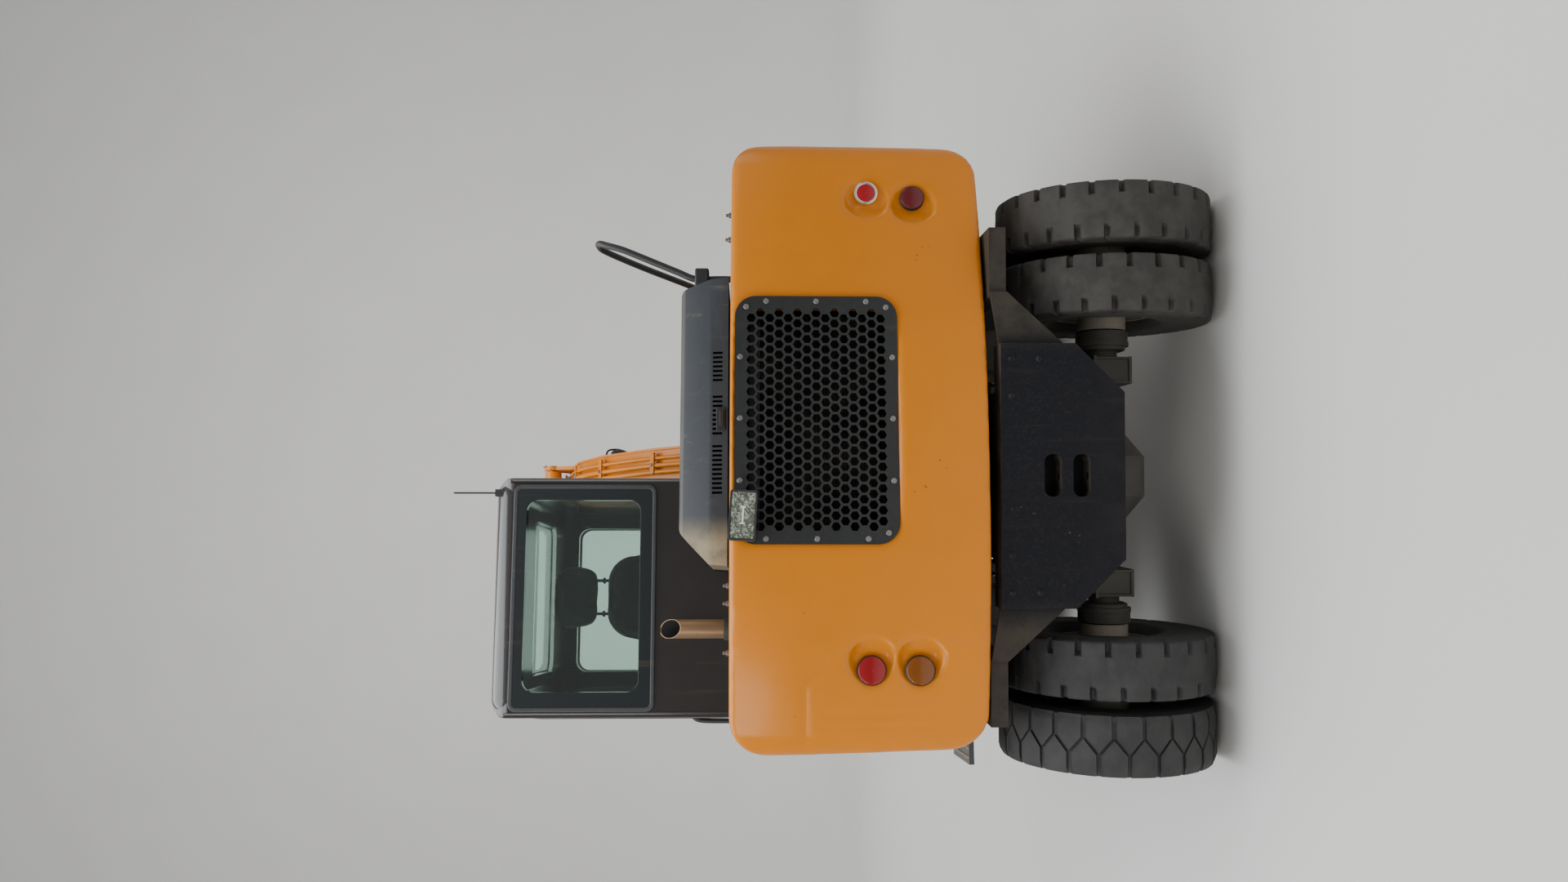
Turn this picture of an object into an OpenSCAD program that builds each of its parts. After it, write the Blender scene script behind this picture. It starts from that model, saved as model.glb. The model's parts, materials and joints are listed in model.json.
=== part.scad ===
// Wheeled excavator of the 7.5 tonne class, swung a little to one side.
// The chassis frame: forward is +Y, right is +X, up is +Z, the ground is z = 0.

/* [Chassis] */
// Distance between the two axles
wheelbase = 2400; // [2200:10:2700]
// Rear axle behind the swing axis
rear_axle_back = 1150; // [1000:10:1300]
// Top of the chassis frame above the ground
frame_top_z = 945; // [930:5:960]
// Width of the main frame
frame_w = 640; // [560:10:700]
// Depth of the main frame
frame_h = 300; // [240:10:340]
// Width of the rear end box
end_box_w = 1000; // [900:10:1080]
// Rear end box, length along the machine
end_box_l = 120; // [100:5:140]
// Rear face of the end box behind the rear axle
end_box_back = 420; // [400:5:460]
// Height of the rear end box
end_box_h = 470; // [400:5:480]
// Slope cut at the end box's lower corners
end_box_chamfer = 185; // [120:5:220]
// Steel plate of the chassis
chassis_plate = 16; // [10:1:20]

/* [Wheels] */
// Outer diameter of a tyre
tyre_d = 865; // [840:1:880]
// Section width of a tyre
tyre_w = 232; // [215:1:236]
// Spacing of the two tyres of a twin wheel
dual_pitch = 280; // [275:1:290]
// Middle plane of the outer tyre from the machine's middle
outer_tyre_x = 1017; // [990:1:1040]
// Diameter of the wheel rim
rim_d = 406; // [380:1:420]
// Kingpin of a steered wheel from the machine's middle
kingpin_x = 545; // [530:1:560]

/* [Blade] */
// Width of the dozer blade
blade_w = 2200; // [2100:10:2300]
// Height of the dozer blade
blade_h = 460; // [400:10:500]
// Blade pivot in front of the front axle
blade_pivot_fore = 250; // [230:5:280]
// Blade pivot above the ground
blade_pivot_z = 590; // [560:5:620]
// Blade face in front of its pivot
blade_reach = 620; // [600:5:700]
// Blade edge above the ground as parked
blade_lift = 240; // [200:5:280]

/* [Upper structure] */
// Swing of the upper structure as parked, degrees
rest_swing = 6.2; // [0:0.1:8]
// Width over the counterweight
upper_w = 2440; // [2300:10:2500]
// Width over the side doors and the tanks
body_w = 2260; // [2160:10:2300]
// Rear face of the counterweight behind the swing axis
tail_back = 1600; // [1560:10:1660]
// Radius of the counterweight's rear face, seen from above
tail_r = 4100; // [3000:50:6000]
// Length of the counterweight from its middle to its front ends
tail_len = 450; // [420:10:500]
// Wall of the counterweight behind the grille
tail_wall = 110; // [100:10:180]
// Bottom of the counterweight above the ground
tail_z = 990; // [985:5:1030]
// Height of the counterweight
tail_h = 977; // [940:1:1000]
// Underside of the deck above the ground
deck_z = 1035; // [1030:5:1050]
// Thickness of the deck
deck_t = 75; // [60:5:90]
// Front edge of the deck before the swing axis
deck_front = 790; // [780:10:860]

/* [Cab] */
// Width of the cab
cab_w = 1022; // [1000:1:1060]
// Back wall of the cab behind the swing axis
cab_back = 850; // [830:5:870]
// Front of the cab before the swing axis
cab_front = 770; // [740:5:780]
// Height of the cab over the deck
cab_h = 1880; // [1850:5:1980]
// Thickness of the cab's walls and door
cab_wall = 40; // [30:1:50]

/* [Boom and arm] */
// Boom pivot before the swing axis
boom_foot_y = 250; // [200:5:280]
// Boom pivot above the ground
boom_foot_z = 1500; // [1480:5:1560]
// Middle plane of the boom right of the upper's middle
boom_x = 150; // [100:1:170]
// Boom from pivot to pivot
boom_len = 3600; // [3500:10:3700]
// Angle of the boom as parked, degrees
boom_angle = 24; // [20:1:26]
// Width of the boom
boom_w = 180; // [160:2:190]
// Arm from pivot to bucket pin
arm_len = 1700; // [1600:10:1800]
// Angle of the arm from the boom as parked, degrees
arm_angle = -118; // [-122:1:-114]
// Width of the arm
arm_w = 150; // [130:2:160]

/* [Bucket] */
// Width of the bucket
bucket_w = 700; // [600:10:800]
// Bucket pin to the tips of the teeth
bucket_r = 1000; // [950:10:1050]
// Angle of the bucket from the arm as parked, degrees
bucket_angle = 36; // [32:1:44]
// Length of the rocker and of the bucket's pin spacing
rocker_len = 300; // [290:5:310]
// Rocker pivot from the bucket pin
link_len = 300; // [290:5:310]
// Thickness of the bucket's plates
bucket_t = 18; // [12:1:24]

/* [Cylinders] */
// Diameter of the boom cylinder's barrel
boom_cyl_d = 124; // [110:2:130]
// Diameter of the arm cylinder's barrel
arm_cyl_d = 110; // [96:2:116]
// Diameter of the bucket cylinder's barrel
bucket_cyl_d = 96; // [86:2:100]
// Running gap between a rod and its barrel
rod_gap = 0.5; // [0.3:0.1:1]

/* [Hidden] */

// Where the middle of the whole outline lies from the swing axis
origin_x = 77.958;
origin_y = 1115.239;

orange = [0.85, 0.5, 0.12];
dark_grey = [0.2, 0.2, 0.2];
cab_brown = [0.16, 0.13, 0.12];
tyre_black = [0.12, 0.11, 0.1];
steel = [0.7, 0.7, 0.7];
glass_green = [0.55, 0.7, 0.65];
chassis_navy = [0.15, 0.16, 0.2];

gap = 6;
pin_fit = 0.5;
seat_gap = 0.3;
wheel_z = tyre_d / 2;
rear_y = -rear_axle_back;
front_y = rear_y + wheelbase;
inner_tyre_x = outer_tyre_x - dual_pitch;
deck_top = deck_z + deck_t;
frame_bottom_z = frame_top_z - frame_h;

// Moves the chassis frame onto the origin of the whole outline
module placed() translate([-origin_x, -origin_y, 0]) children();
// Turns the upper structure to where it is parked
module on_upper() placed() rotate([0, 0, rest_swing]) children();
// Draws a side view outline, along the machine and up, w wide about x
module side(w, x = 0) translate([x - w / 2, 0, 0]) rotate([90, 0, 90]) linear_extrude(w) children();
// Draws a rear view outline, across and up, from y0 to y1
module across(y0, y1) translate([0, y1, 0]) rotate([90, 0, 0]) linear_extrude(y1 - y0) children();
// Draws a plan view outline from z0 to z1
module plan(z0, z1) translate([0, 0, z0]) linear_extrude(z1 - z0) children();
// Round bar across the machine at y, z
module cross_pin(y, z, r, w, x = 0)
  translate([x - w / 2, y, z]) rotate([0, 90, 0]) cylinder(h = w, r = r, $fn = 48);
// Rectangle with round corners, centred
module rounded(w, h, r) {
  square([w - 2 * r, h], center = true);
  square([w, h - 2 * r], center = true);
  for (sx = [-1, 1], sz = [-1, 1]) translate([sx * (w / 2 - r), sz * (h / 2 - r)]) circle(r, $fn = 32);
}
module box(lo, hi) translate(lo) cube(hi - lo);
module both_sides() for (m = [0, 1]) mirror([m, 0, 0]) children();
function polar(r, a) = [r * cos(a), r * sin(a)];
function arc(c, r, a0, a1, n) = [for (i = [0:n]) c + polar(r, a0 + (a1 - a0) * i / n)];

// Tube swept along points that never head straight across, as one closed skin
function unit(v) = v / norm(v);
function heading(p, i) = unit(p[min(i + 1, len(p) - 1)] - p[max(i - 1, 0)]);
function sideways(t) = unit(cross(t, [1, 0, 0]));
function ring(p, i, r, n) = let (t = heading(p, i), u = sideways(t), v = cross(t, u))
  [for (k = [0:n - 1]) p[i] + r * (cos(360 * k / n) * u + sin(360 * k / n) * v)];
module tube(p, r, n = 10) {
  m = len(p);
  skin = [for (i = [0:m - 2], k = [0:n - 1])
    [i * n + k, (i + 1) * n + k, (i + 1) * n + (k + 1) % n, i * n + (k + 1) % n]];
  ends = [[for (k = [0:n - 1]) k], [for (k = [n - 1:-1:0]) (m - 1) * n + k]];
  polyhedron([for (i = [0:m - 1]) each ring(p, i, r, n)], concat(skin, ends));
}

// Chassis frame: a long box with a swing ring seat and arms out to the step boxes
ring_r = 430;
frame_back_y = rear_y - end_box_back + end_box_l + seat_gap;
frame_front_y = front_y + blade_pivot_fore - 60;
blade_pivot_y = front_y + blade_pivot_fore;
blade_arm_x = 240;
lug_t = 22;
axle_seat_z = wheel_z + 95;
tunnel_top_z = frame_bottom_z - chassis_plate + frame_h - 60;
module chassis() color(chassis_navy) placed() {
  difference() {
    across(frame_back_y, frame_front_y) polygon([
      [-frame_w / 2, frame_top_z], [-frame_w / 2, frame_bottom_z + 60],
      [-frame_w / 2 + 60, frame_bottom_z], [frame_w / 2 - 60, frame_bottom_z],
      [frame_w / 2, frame_bottom_z + 60], [frame_w / 2, frame_top_z]]);
    across(frame_back_y + 60, frame_front_y - 60)
      translate([0, frame_bottom_z - chassis_plate])
      square([frame_w - 2 * chassis_plate - 140, 2 * (frame_h - 60)], center = true);
    translate([0, 0, frame_top_z - 60]) cylinder(h = 100, r = ring_r - 190, $fn = 72);
  }
  // round seat under the swing ring
  difference() {
    translate([0, 0, frame_top_z - 110]) cylinder(h = 110, r = ring_r + 40, $fn = 96);
    translate([0, 0, frame_top_z - 120]) cylinder(h = 130, r = ring_r - 190, $fn = 72);
    box([-frame_w / 2 + 1, -ring_r - 60, frame_top_z - 121], [frame_w / 2 - 1, ring_r + 60, frame_top_z - 50]);
  }
  // axle seats
  for (y = [rear_y, front_y], sx = [-1, 1])
    box([sx * 250 - 55, y - 90, axle_seat_z + seat_gap], [sx * 250 + 55, y + 90, frame_bottom_z + 20]);
  // lugs that carry the blade and its cylinder
  for (sx = [-1, 1]) for (sy = [-1, 1])
    side(lug_t, sx * blade_arm_x + sy * (35 + gap + lug_t / 2)) {
      translate([blade_pivot_y, blade_pivot_z]) circle(55, $fn = 32);
      polygon([[frame_front_y - 10, frame_bottom_z - 80], [blade_pivot_y, blade_pivot_z - 55],
        [blade_pivot_y + 40, blade_pivot_z + 38], [frame_front_y - 10, frame_bottom_z + 150]]);
    }
  for (sy = [-1, 1])
    side(lug_t, sy * blade_lug_x) {
      translate([blade_foot_y, blade_foot_z]) circle(50, $fn = 32);
      polygon([[frame_front_y - 10, blade_foot_z - 90], [blade_foot_y, blade_foot_z - 50],
        [blade_foot_y, blade_foot_z + 50], [frame_front_y - 10, blade_foot_z + 60]]);
    }
  for (sx = [-1, 1]) cross_pin(blade_pivot_y, blade_pivot_z, 25, 70 + 2 * (gap + lug_t) + 6, x = sx * blade_arm_x);
  cross_pin(blade_foot_y, blade_foot_z, 25, 2 * blade_lug_x + lug_t);
  both_sides() box([frame_w / 2 - 1, rear_y + 180, fender_z - 20], [fender_x0 + 40, rear_y + 240, fender_z - seat_gap]);
  // arms out to the step boxes
  for (sy = [-1, 1]) both_sides()
    box([frame_w / 2 - 1, sy * 330 - 40, frame_top_z - 130], [step_x0 - seat_gap, sy * 330 + 40, frame_top_z - 60]);
}

// Rear end box with two tow pockets and wings out over the tyres' inner sides
end_box_y = rear_y - end_box_back;
end_box_top = frame_top_z;
tow_pocket_w = 160;
tow_pocket_h = 65;
wing_out_x = 700;
fender_x0 = 680;
fender_x1 = 949;
fender_z = 914;
fender_h = 65;
tow_bore_r = 15;
tow_pocket_depth = 95;
tow_pocket_drops = [196, 305];
module end_box() color(chassis_navy) placed() {
  hw = end_box_w / 2;
  difference() {
    across(end_box_y, end_box_y + end_box_l) polygon([
      [-hw, end_box_top], [-hw, end_box_top - end_box_h + end_box_chamfer],
      [-hw + end_box_chamfer, end_box_top - end_box_h], [hw - end_box_chamfer, end_box_top - end_box_h],
      [hw, end_box_top - end_box_h + end_box_chamfer], [hw, end_box_top]]);
    for (drop = tow_pocket_drops)
      translate([0, end_box_y + tow_pocket_depth, end_box_top - drop]) rotate([90, 0, 0]) linear_extrude(120)
      rounded(tow_pocket_w, tow_pocket_h, 30);
    // hole for a tow pin, from below through both pockets
    translate([0, end_box_y + 45, end_box_top - end_box_h - 1])
      cylinder(h = end_box_h - tow_pocket_drops[0] + 1, r = tow_bore_r, $fn = 24);
  }
  // sloping wings
  both_sides() across(end_box_y + 30, end_box_y + 30 + chassis_plate)
    polygon([[hw - 1, end_box_top], [wing_out_x, fender_z + fender_h], [wing_out_x, fender_z],
      [hw - 1, end_box_top - 250]]);
  // fenders over the rear tyres
  both_sides() box([fender_x0, end_box_y + 30 + chassis_plate - 1, fender_z], [fender_x1, rear_y + 260, fender_z + fender_h]);
}

// Axle housings: a tube with a bulge for the crown wheel
spindle_r = 48;
module axle_tube(y, x_end) {
  cross_pin(y, wheel_z, 62, 2 * x_end);
  translate([0, y, wheel_z]) rotate([0, 90, 0]) rotate_extrude($fn = 72)
    polygon([[0, -190], [75, -190], [165, -80], [165, 80], [75, 190], [0, 190]]);
  for (sx = [-1, 1]) box([sx * 250 - 60, y - 75, wheel_z - 70], [sx * 250 + 60, y + 75, axle_seat_z]);
}
kingpin_boss_r = 50;
hub_in_x = kingpin_x + kingpin_boss_r + gap;
steer_arm = 200;
tie_z = wheel_z - 72;
module axle_rear() color([0.35, 0.32, 0.28]) placed() {
  difference() {
    union() {
      axle_tube(rear_y, hub_in_x - gap);
      both_sides() cross_pin(rear_y, wheel_z, 105, 60, x = hub_in_x - gap - 30);
      both_sides() cross_pin(rear_y, wheel_z, spindle_r, 120, x = hub_in_x + 50);
    }
    translate([0, rear_y + 165, wheel_z]) rotate([90, 0, 0]) cylinder(h = 60, r = 42 + pin_fit, center = true, $fn = 48);
  }
}
// Front axle with a fork at each end round the kingpin
fork_z = 92;
fork_t = 30;
module axle_front() color([0.35, 0.32, 0.28]) placed() {
  difference() {
    axle_tube(front_y, kingpin_x - 110);
    translate([0, front_y - 165, wheel_z]) rotate([90, 0, 0]) cylinder(h = 60, r = 42 + pin_fit, center = true, $fn = 48);
  }
  // steering cylinder round the tie rod
  difference() {
    union() {
      cross_pin(front_y - steer_arm, tie_z, 28, 260, x = 250);
      box([220, front_y - steer_arm + 10, tie_z - 14], [280, front_y - 40, tie_z + 34]);
    }
    cross_pin(front_y - steer_arm, tie_z, 12 + pin_fit, 300, x = 250);
  }
  both_sides() {
    box([kingpin_x - 115, front_y - 70, wheel_z - fork_z], [kingpin_x - 85, front_y + 70, wheel_z + fork_z]);
    for (s = [-1, 1]) translate([0, 0, wheel_z + s * (fork_z - fork_t / 2)]) {
      box([kingpin_x - 100, front_y - 50, -fork_t / 2], [kingpin_x, front_y + 50, fork_t / 2]);
      translate([kingpin_x, front_y, -fork_t / 2]) cylinder(h = fork_t, r = kingpin_boss_r, $fn = 48);
    }
    translate([kingpin_x, front_y, wheel_z - fork_z + 1]) cylinder(h = 2 * fork_z - 2, r = 22, $fn = 36);
  }
}
// Knuckle: a block on the kingpin with the wheel's spindle
module knuckle_right_shape() {
  difference() {
    union() {
      translate([kingpin_x, front_y, wheel_z - fork_z + fork_t + gap])
        cylinder(h = 2 * (fork_z - fork_t - gap), r = kingpin_boss_r, $fn = 48);
      cross_pin(front_y, wheel_z, spindle_r, hub_in_x + 110 - kingpin_x, x = (kingpin_x + hub_in_x + 110) / 2);
      box([kingpin_x - 25, front_y - steer_arm, wheel_z - 56], [kingpin_x + 25, front_y - 30, wheel_z - 36]);
      translate([kingpin_x, front_y - steer_arm, wheel_z - 56]) cylinder(h = 20, r = 28, $fn = 36);
    }
    translate([kingpin_x, front_y, 0]) cylinder(h = 2 * wheel_z, r = 22 + pin_fit, $fn = 36);
  }
}
module knuckle_right() color([0.3, 0.28, 0.26]) placed() knuckle_right_shape();
module knuckle_left() color([0.3, 0.28, 0.26]) placed() mirror([1, 0, 0]) knuckle_right_shape();

// Tie rod between the steering arms
module tie_rod() color(steel) placed() {
  cross_pin(front_y - steer_arm, tie_z, 12, 2 * kingpin_x);
  both_sides() translate([kingpin_x, front_y - steer_arm, wheel_z - 56 - gap - 16]) cylinder(h = 16, r = 26, $fn = 36);
}

// Gearbox in the middle of the chassis and shafts to both axles
gearbox_y = 60;
module driveline() color([0.4, 0.37, 0.33]) placed() {
  box([-120, gearbox_y - 150, wheel_z - 120], [120, gearbox_y + 150, frame_bottom_z - gap]);
  translate([0, gearbox_y, wheel_z]) rotate([90, 0, 0]) cylinder(h = 420, r = 85, center = true, $fn = 48);
  for (e = [[gearbox_y - 160, rear_y + 150], [gearbox_y + 160, front_y - 150]])
    translate([0, min(e[0], e[1]), wheel_z]) rotate([-90, 0, 0])
    cylinder(h = abs(e[0] - e[1]), r = 42, $fn = 48);
  for (sx = [-1, 1])
    box([sx * 90 - 20, gearbox_y - 60, frame_bottom_z - gap - 1], [sx * 90 + 20, gearbox_y + 60, tunnel_top_z - seat_gap]);
}

// Swing ring, lower race on the chassis and upper race on the deck
ring_split_z = (frame_top_z + deck_z) / 2;
module ring_lower() color(steel) placed() difference() {
  translate([0, 0, frame_top_z + seat_gap]) cylinder(h = ring_split_z - 2 * seat_gap - frame_top_z, r = ring_r, $fn = 96);
  translate([0, 0, frame_top_z - 1]) cylinder(h = 90, r = ring_r - 110, $fn = 96);
}
module ring_upper() color(steel) on_upper() difference() {
  translate([0, 0, ring_split_z]) cylinder(h = deck_z - ring_split_z - seat_gap, r = ring_r + 25, $fn = 96);
  translate([0, 0, frame_top_z]) cylinder(h = 190, r = ring_r - 130, $fn = 96);
}

// Step boxes beside the frame between the wheels
step_x0 = 700;
step_x1 = 1150;
step_half_l = 430;
module step_boxes() color(dark_grey) placed() both_sides() {
  difference() {
    box([step_x0, -step_half_l, frame_top_z - 400], [step_x1 - 110, step_half_l, frame_top_z - 20]);
    for (z = [frame_top_z - 330, frame_top_z - 170])
      box([step_x1 - 200, -170, z], [step_x1, 170, z + 110]);
  }
}

// Twin wheels: tyre and rim outlines turned round the axle
tyre_bore_r = rim_d / 2 + 2;
module tyre_profile() {
  hw = tyre_w / 2;
  polygon([[tyre_bore_r, -hw + 40], [tyre_bore_r + 30, -hw + 12], [(tyre_bore_r + wheel_z) / 2, -hw],
      [wheel_z - 45, -hw + 6], [wheel_z - 4, -hw + 22], [wheel_z, -hw + 60], [wheel_z, hw - 60],
      [wheel_z - 4, hw - 22], [wheel_z - 45, hw - 6], [(tyre_bore_r + wheel_z) / 2, hw],
      [tyre_bore_r + 30, hw - 12], [tyre_bore_r, hw - 40]]);
}
module rim_profile() {
  hw = tyre_w / 2 - 42;
  r = tyre_bore_r - seat_gap;
  polygon([[r - 12, -hw], [r, -hw], [r, hw], [r - 12, hw], [r - 12, 30], [150, 22], [95, 22], [95, 4],
    [150, 4], [r - 12, 12]]);
}
module at_wheel(s, y, x) translate([s * x, y, wheel_z]) rotate([0, s * 90, 0]) children();
module twin_tyres(s, y) color(tyre_black) placed()
  for (x = [outer_tyre_x, inner_tyre_x]) at_wheel(s, y, x) rotate_extrude($fn = 96) tyre_profile();
module twin_rims(s, y) color([0.75, 0.7, 0.62]) placed() difference() {
  union() {
    for (e = [[outer_tyre_x, 1], [inner_tyre_x, -1]])
      at_wheel(s, y, e[0]) mirror([0, 0, e[1] > 0 ? 1 : 0]) rotate_extrude($fn = 72) rim_profile();
    at_wheel(s, y, hub_in_x) cylinder(h = outer_tyre_x - hub_in_x + 40, r = 96, $fn = 72);
  }
  at_wheel(s, y, hub_in_x - 10) cylinder(h = 130, r = spindle_r + pin_fit, $fn = 48);
}
module tyres_rear_left() twin_tyres(-1, rear_y);
module tyres_rear_right() twin_tyres(1, rear_y);
module tyres_front_left() twin_tyres(-1, front_y);
module tyres_front_right() twin_tyres(1, front_y);
module rims_rear_left() twin_rims(-1, rear_y);
module rims_rear_right() twin_rims(1, rear_y);
module rims_front_left() twin_rims(-1, front_y);
module rims_front_right() twin_rims(1, front_y);

// Dozer blade: a curved plate on two arms
blade_face_y = blade_pivot_y + blade_reach;
blade_r = 520;
blade_eye = [blade_pivot_y + 360, blade_pivot_z + 40];
blade_foot_y = blade_pivot_y;
blade_cyl_d = 76;
blade_lug_x = blade_cyl_d / 2 + gap + lug_t / 2;
blade_foot_z = frame_top_z - 70;
module blade() color(orange) placed() {
  c = [blade_face_y + blade_r - 40, blade_lift + blade_h / 2];
  a = asin(blade_h / 2 / blade_r);
  side(blade_w) polygon(concat(arc(c, blade_r, 180 + a, 180 - a, 10), arc(c, blade_r + 22, 180 - a, 180 + a, 10)));
  side(blade_w) polygon([[blade_face_y - 22, blade_lift - 30], [blade_face_y + 8, blade_lift - 30],
    [blade_face_y + 34, blade_lift + 30], [blade_face_y + 4, blade_lift + 30]]);
  for (sx = [-1, 1]) difference() {
    side(70, sx * blade_arm_x) {
      translate([blade_pivot_y, blade_pivot_z]) circle(50, $fn = 32);
      polygon([[blade_pivot_y, blade_pivot_z - 50], [blade_face_y - 45, blade_lift + 20],
        [blade_face_y - 45, blade_lift + 260], [blade_pivot_y, blade_pivot_z + 50]]);
    }
    cross_pin(blade_pivot_y, blade_pivot_z, 25 + pin_fit, 200, x = sx * blade_arm_x);
  }
  // cross tube between the arms, with the cylinder's lugs
  cross_pin(blade_eye[0] + 110, blade_pivot_z - 80, 50, 2 * blade_arm_x);
  for (sy = [-1, 1]) side(lug_t, sy * blade_lug_x) {
    translate(blade_eye) circle(42, $fn = 32);
    polygon([blade_eye + [-42, 0], blade_eye + [60, -150], blade_eye + [150, -100], blade_eye + [30, 30]]);
  }
}

// Cylinders: a barrel with a foot eye and a rod with an eye, along +Y of a local frame
module barrel_shape(len_barrel, d, eye_r, rod_r) difference() {
  union() {
    translate([0, eye_r * 0.6, 0]) rotate([-90, 0, 0]) cylinder(h = len_barrel - eye_r * 0.6, r = d / 2, $fn = 48);
    translate([0, len_barrel - 50, 0]) rotate([-90, 0, 0]) cylinder(h = 50, r = d / 2 + 9, $fn = 48);
    cross_pin(0, 0, eye_r, d - 6);
  }
  translate([0, eye_r + 30, 0]) rotate([-90, 0, 0]) cylinder(h = len_barrel, r = rod_r + rod_gap, $fn = 48);
  cross_pin(0, 0, 25 + pin_fit, d + 20);
}
module rod_shape(from_y, eye_y, rod_r, eye_r, eye_w) difference() {
  union() {
    translate([0, from_y, 0]) rotate([-90, 0, 0]) cylinder(h = eye_y - from_y, r = rod_r, $fn = 48);
    cross_pin(eye_y, 0, eye_r, eye_w);
  }
  cross_pin(eye_y, 0, 25 + pin_fit, eye_w + 20);
}
function reach_len(a, b) = norm(b - a);
function reach_angle(a, b) = atan2(b[1] - a[1], b[0] - a[0]);
module along(foot, eye, x = 0)
  translate([x, foot[0], foot[1]]) rotate([reach_angle(foot, eye), 0, 0]) children();

blade_foot = [blade_foot_y, blade_foot_z];
blade_span = reach_len(blade_foot, blade_eye);
module blade_barrel() color(orange) placed() along(blade_foot, blade_eye)
  barrel_shape(blade_span - 120, blade_cyl_d, 40, 20);
module blade_rod() color(steel) placed() along(blade_foot, blade_eye)
  rod_shape(blade_span - 230, blade_span, 20, 38, blade_cyl_d - 12);

// Deck: the upper frame with the boom's two cheeks
tail_side = 130;
tail_in_x = upper_w / 2 - tail_side;
tail_front_y = -tail_back + tail_len;
// Rear face of the counterweight at x, set in by e
function tail_y(x, e) = -tail_back + tail_r - sqrt(pow(tail_r - e, 2) - x * x);
function tail_inner(e, g) = [for (i = [-6:6]) let (end = tail_in_x - g, x = max(-end, min(end, i * tail_in_x / 6))) [x, tail_y(x, e)]];
deck_hw = body_w / 2 - 20;
deck_in_x = tail_in_x - 20;
cheek_t = 25;
cheek_x = boom_w / 2 + gap + cheek_t / 2;
boom_cyl_foot = [boom_foot_y + 400, boom_foot_z - 400];
boom_cyl_boss = cheek_x - cheek_t / 2 - boom_cyl_d / 2 - gap;
module deck() color(dark_grey) on_upper() {
  difference() {
    plan(deck_z, deck_top) polygon(concat([[-deck_hw, deck_front - 60], [-deck_hw, tail_front_y + gap],
      [-deck_in_x, tail_front_y + gap]], tail_inner(tail_wall + 2 * seat_gap, 20), [[deck_in_x, tail_front_y + gap],
      [deck_hw, tail_front_y + gap], [deck_hw, deck_front - 60], [deck_hw - 60, deck_front], [-deck_hw + 60, deck_front]]));
    translate([boom_x - boom_w / 2 - gap, boom_cyl_foot[0] - 190, deck_z - 1])
      cube([boom_w + 2 * gap, 1000, deck_t + 2]);
    translate([0, 0, deck_z - 1]) cylinder(h = deck_t + 2, r = 120, $fn = 48);
  }
  for (s = [-1, 1]) difference() {
    union() {
      side(cheek_t, boom_x + s * cheek_x) {
        translate([boom_foot_y, boom_foot_z]) circle(105, $fn = 48);
        translate(boom_cyl_foot) circle(75, $fn = 48);
        polygon([[-650, deck_top - 1], [-600, deck_top + 120], [boom_foot_y - 105, boom_foot_z],
          [boom_foot_y + 74, boom_foot_z + 74], [boom_cyl_foot[0] + 60, boom_cyl_foot[1] + 45],
          [deck_front, deck_z + 20], [deck_front, deck_z], [boom_cyl_foot[0], deck_z - 20],
          [boom_cyl_foot[0] - 190, deck_z]]);
      }
      cross_pin(boom_cyl_foot[0], boom_cyl_foot[1], 55, boom_cyl_boss + 1,
        x = boom_x + s * (cheek_x - cheek_t / 2 - boom_cyl_boss / 2 + 0.5));
    }
    cross_pin(boom_foot_y, boom_foot_z, 35 + pin_fit, cheek_t + 2, x = boom_x + s * cheek_x);
  }
  cross_pin(boom_cyl_foot[0], boom_cyl_foot[1], 25, 2 * cheek_x, x = boom_x);
  for (p = door_pivots) translate([p[0], p[1], deck_top - 1]) cylinder(h = 30, r = door_pin_r, $fn = 24);
}

// Counterweight: a curved plan outline and a rear view outline meet in one block
tail_top = tail_z + tail_h;
tail_edge_r = 150;
tail_taper = 25;
grille_w = 943;
grille_h = 616;
grille_x = 42;
grille_z = 1640;
grille_r = 80;
grille_t = 12;
grille_rim = 36;
grille_y = tail_y(grille_x + grille_w / 2, 0);
// The corner's arc touches the big arc, so its middle lies tail_r - tail_edge_r from that of the big arc
tail_corner_x = upper_w / 2 - tail_edge_r;
tail_corner_y = tail_y(tail_corner_x, tail_edge_r);
tail_corner_a = acos(tail_corner_x / (tail_r - tail_edge_r));
tail_outline = concat([[upper_w / 2, tail_front_y]], arc([tail_corner_x, tail_corner_y], tail_edge_r, 0, -tail_corner_a, 6),
  arc([0, -tail_back + tail_r], tail_r, -tail_corner_a - 1, tail_corner_a - 179, 22),
  arc([-tail_corner_x, tail_corner_y], tail_edge_r, tail_corner_a - 180, -180, 6), [[-upper_w / 2, tail_front_y]]);
// Lamps, as columns: across, up, radius
tail_lamps = [[-892, 1435, 56], [-893, 1254, 57], [962, 1435, 46], [946, 1251, 49]];
lamp_sink = 27;
dish_r = 82;
dish_lean = 35;
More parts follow.
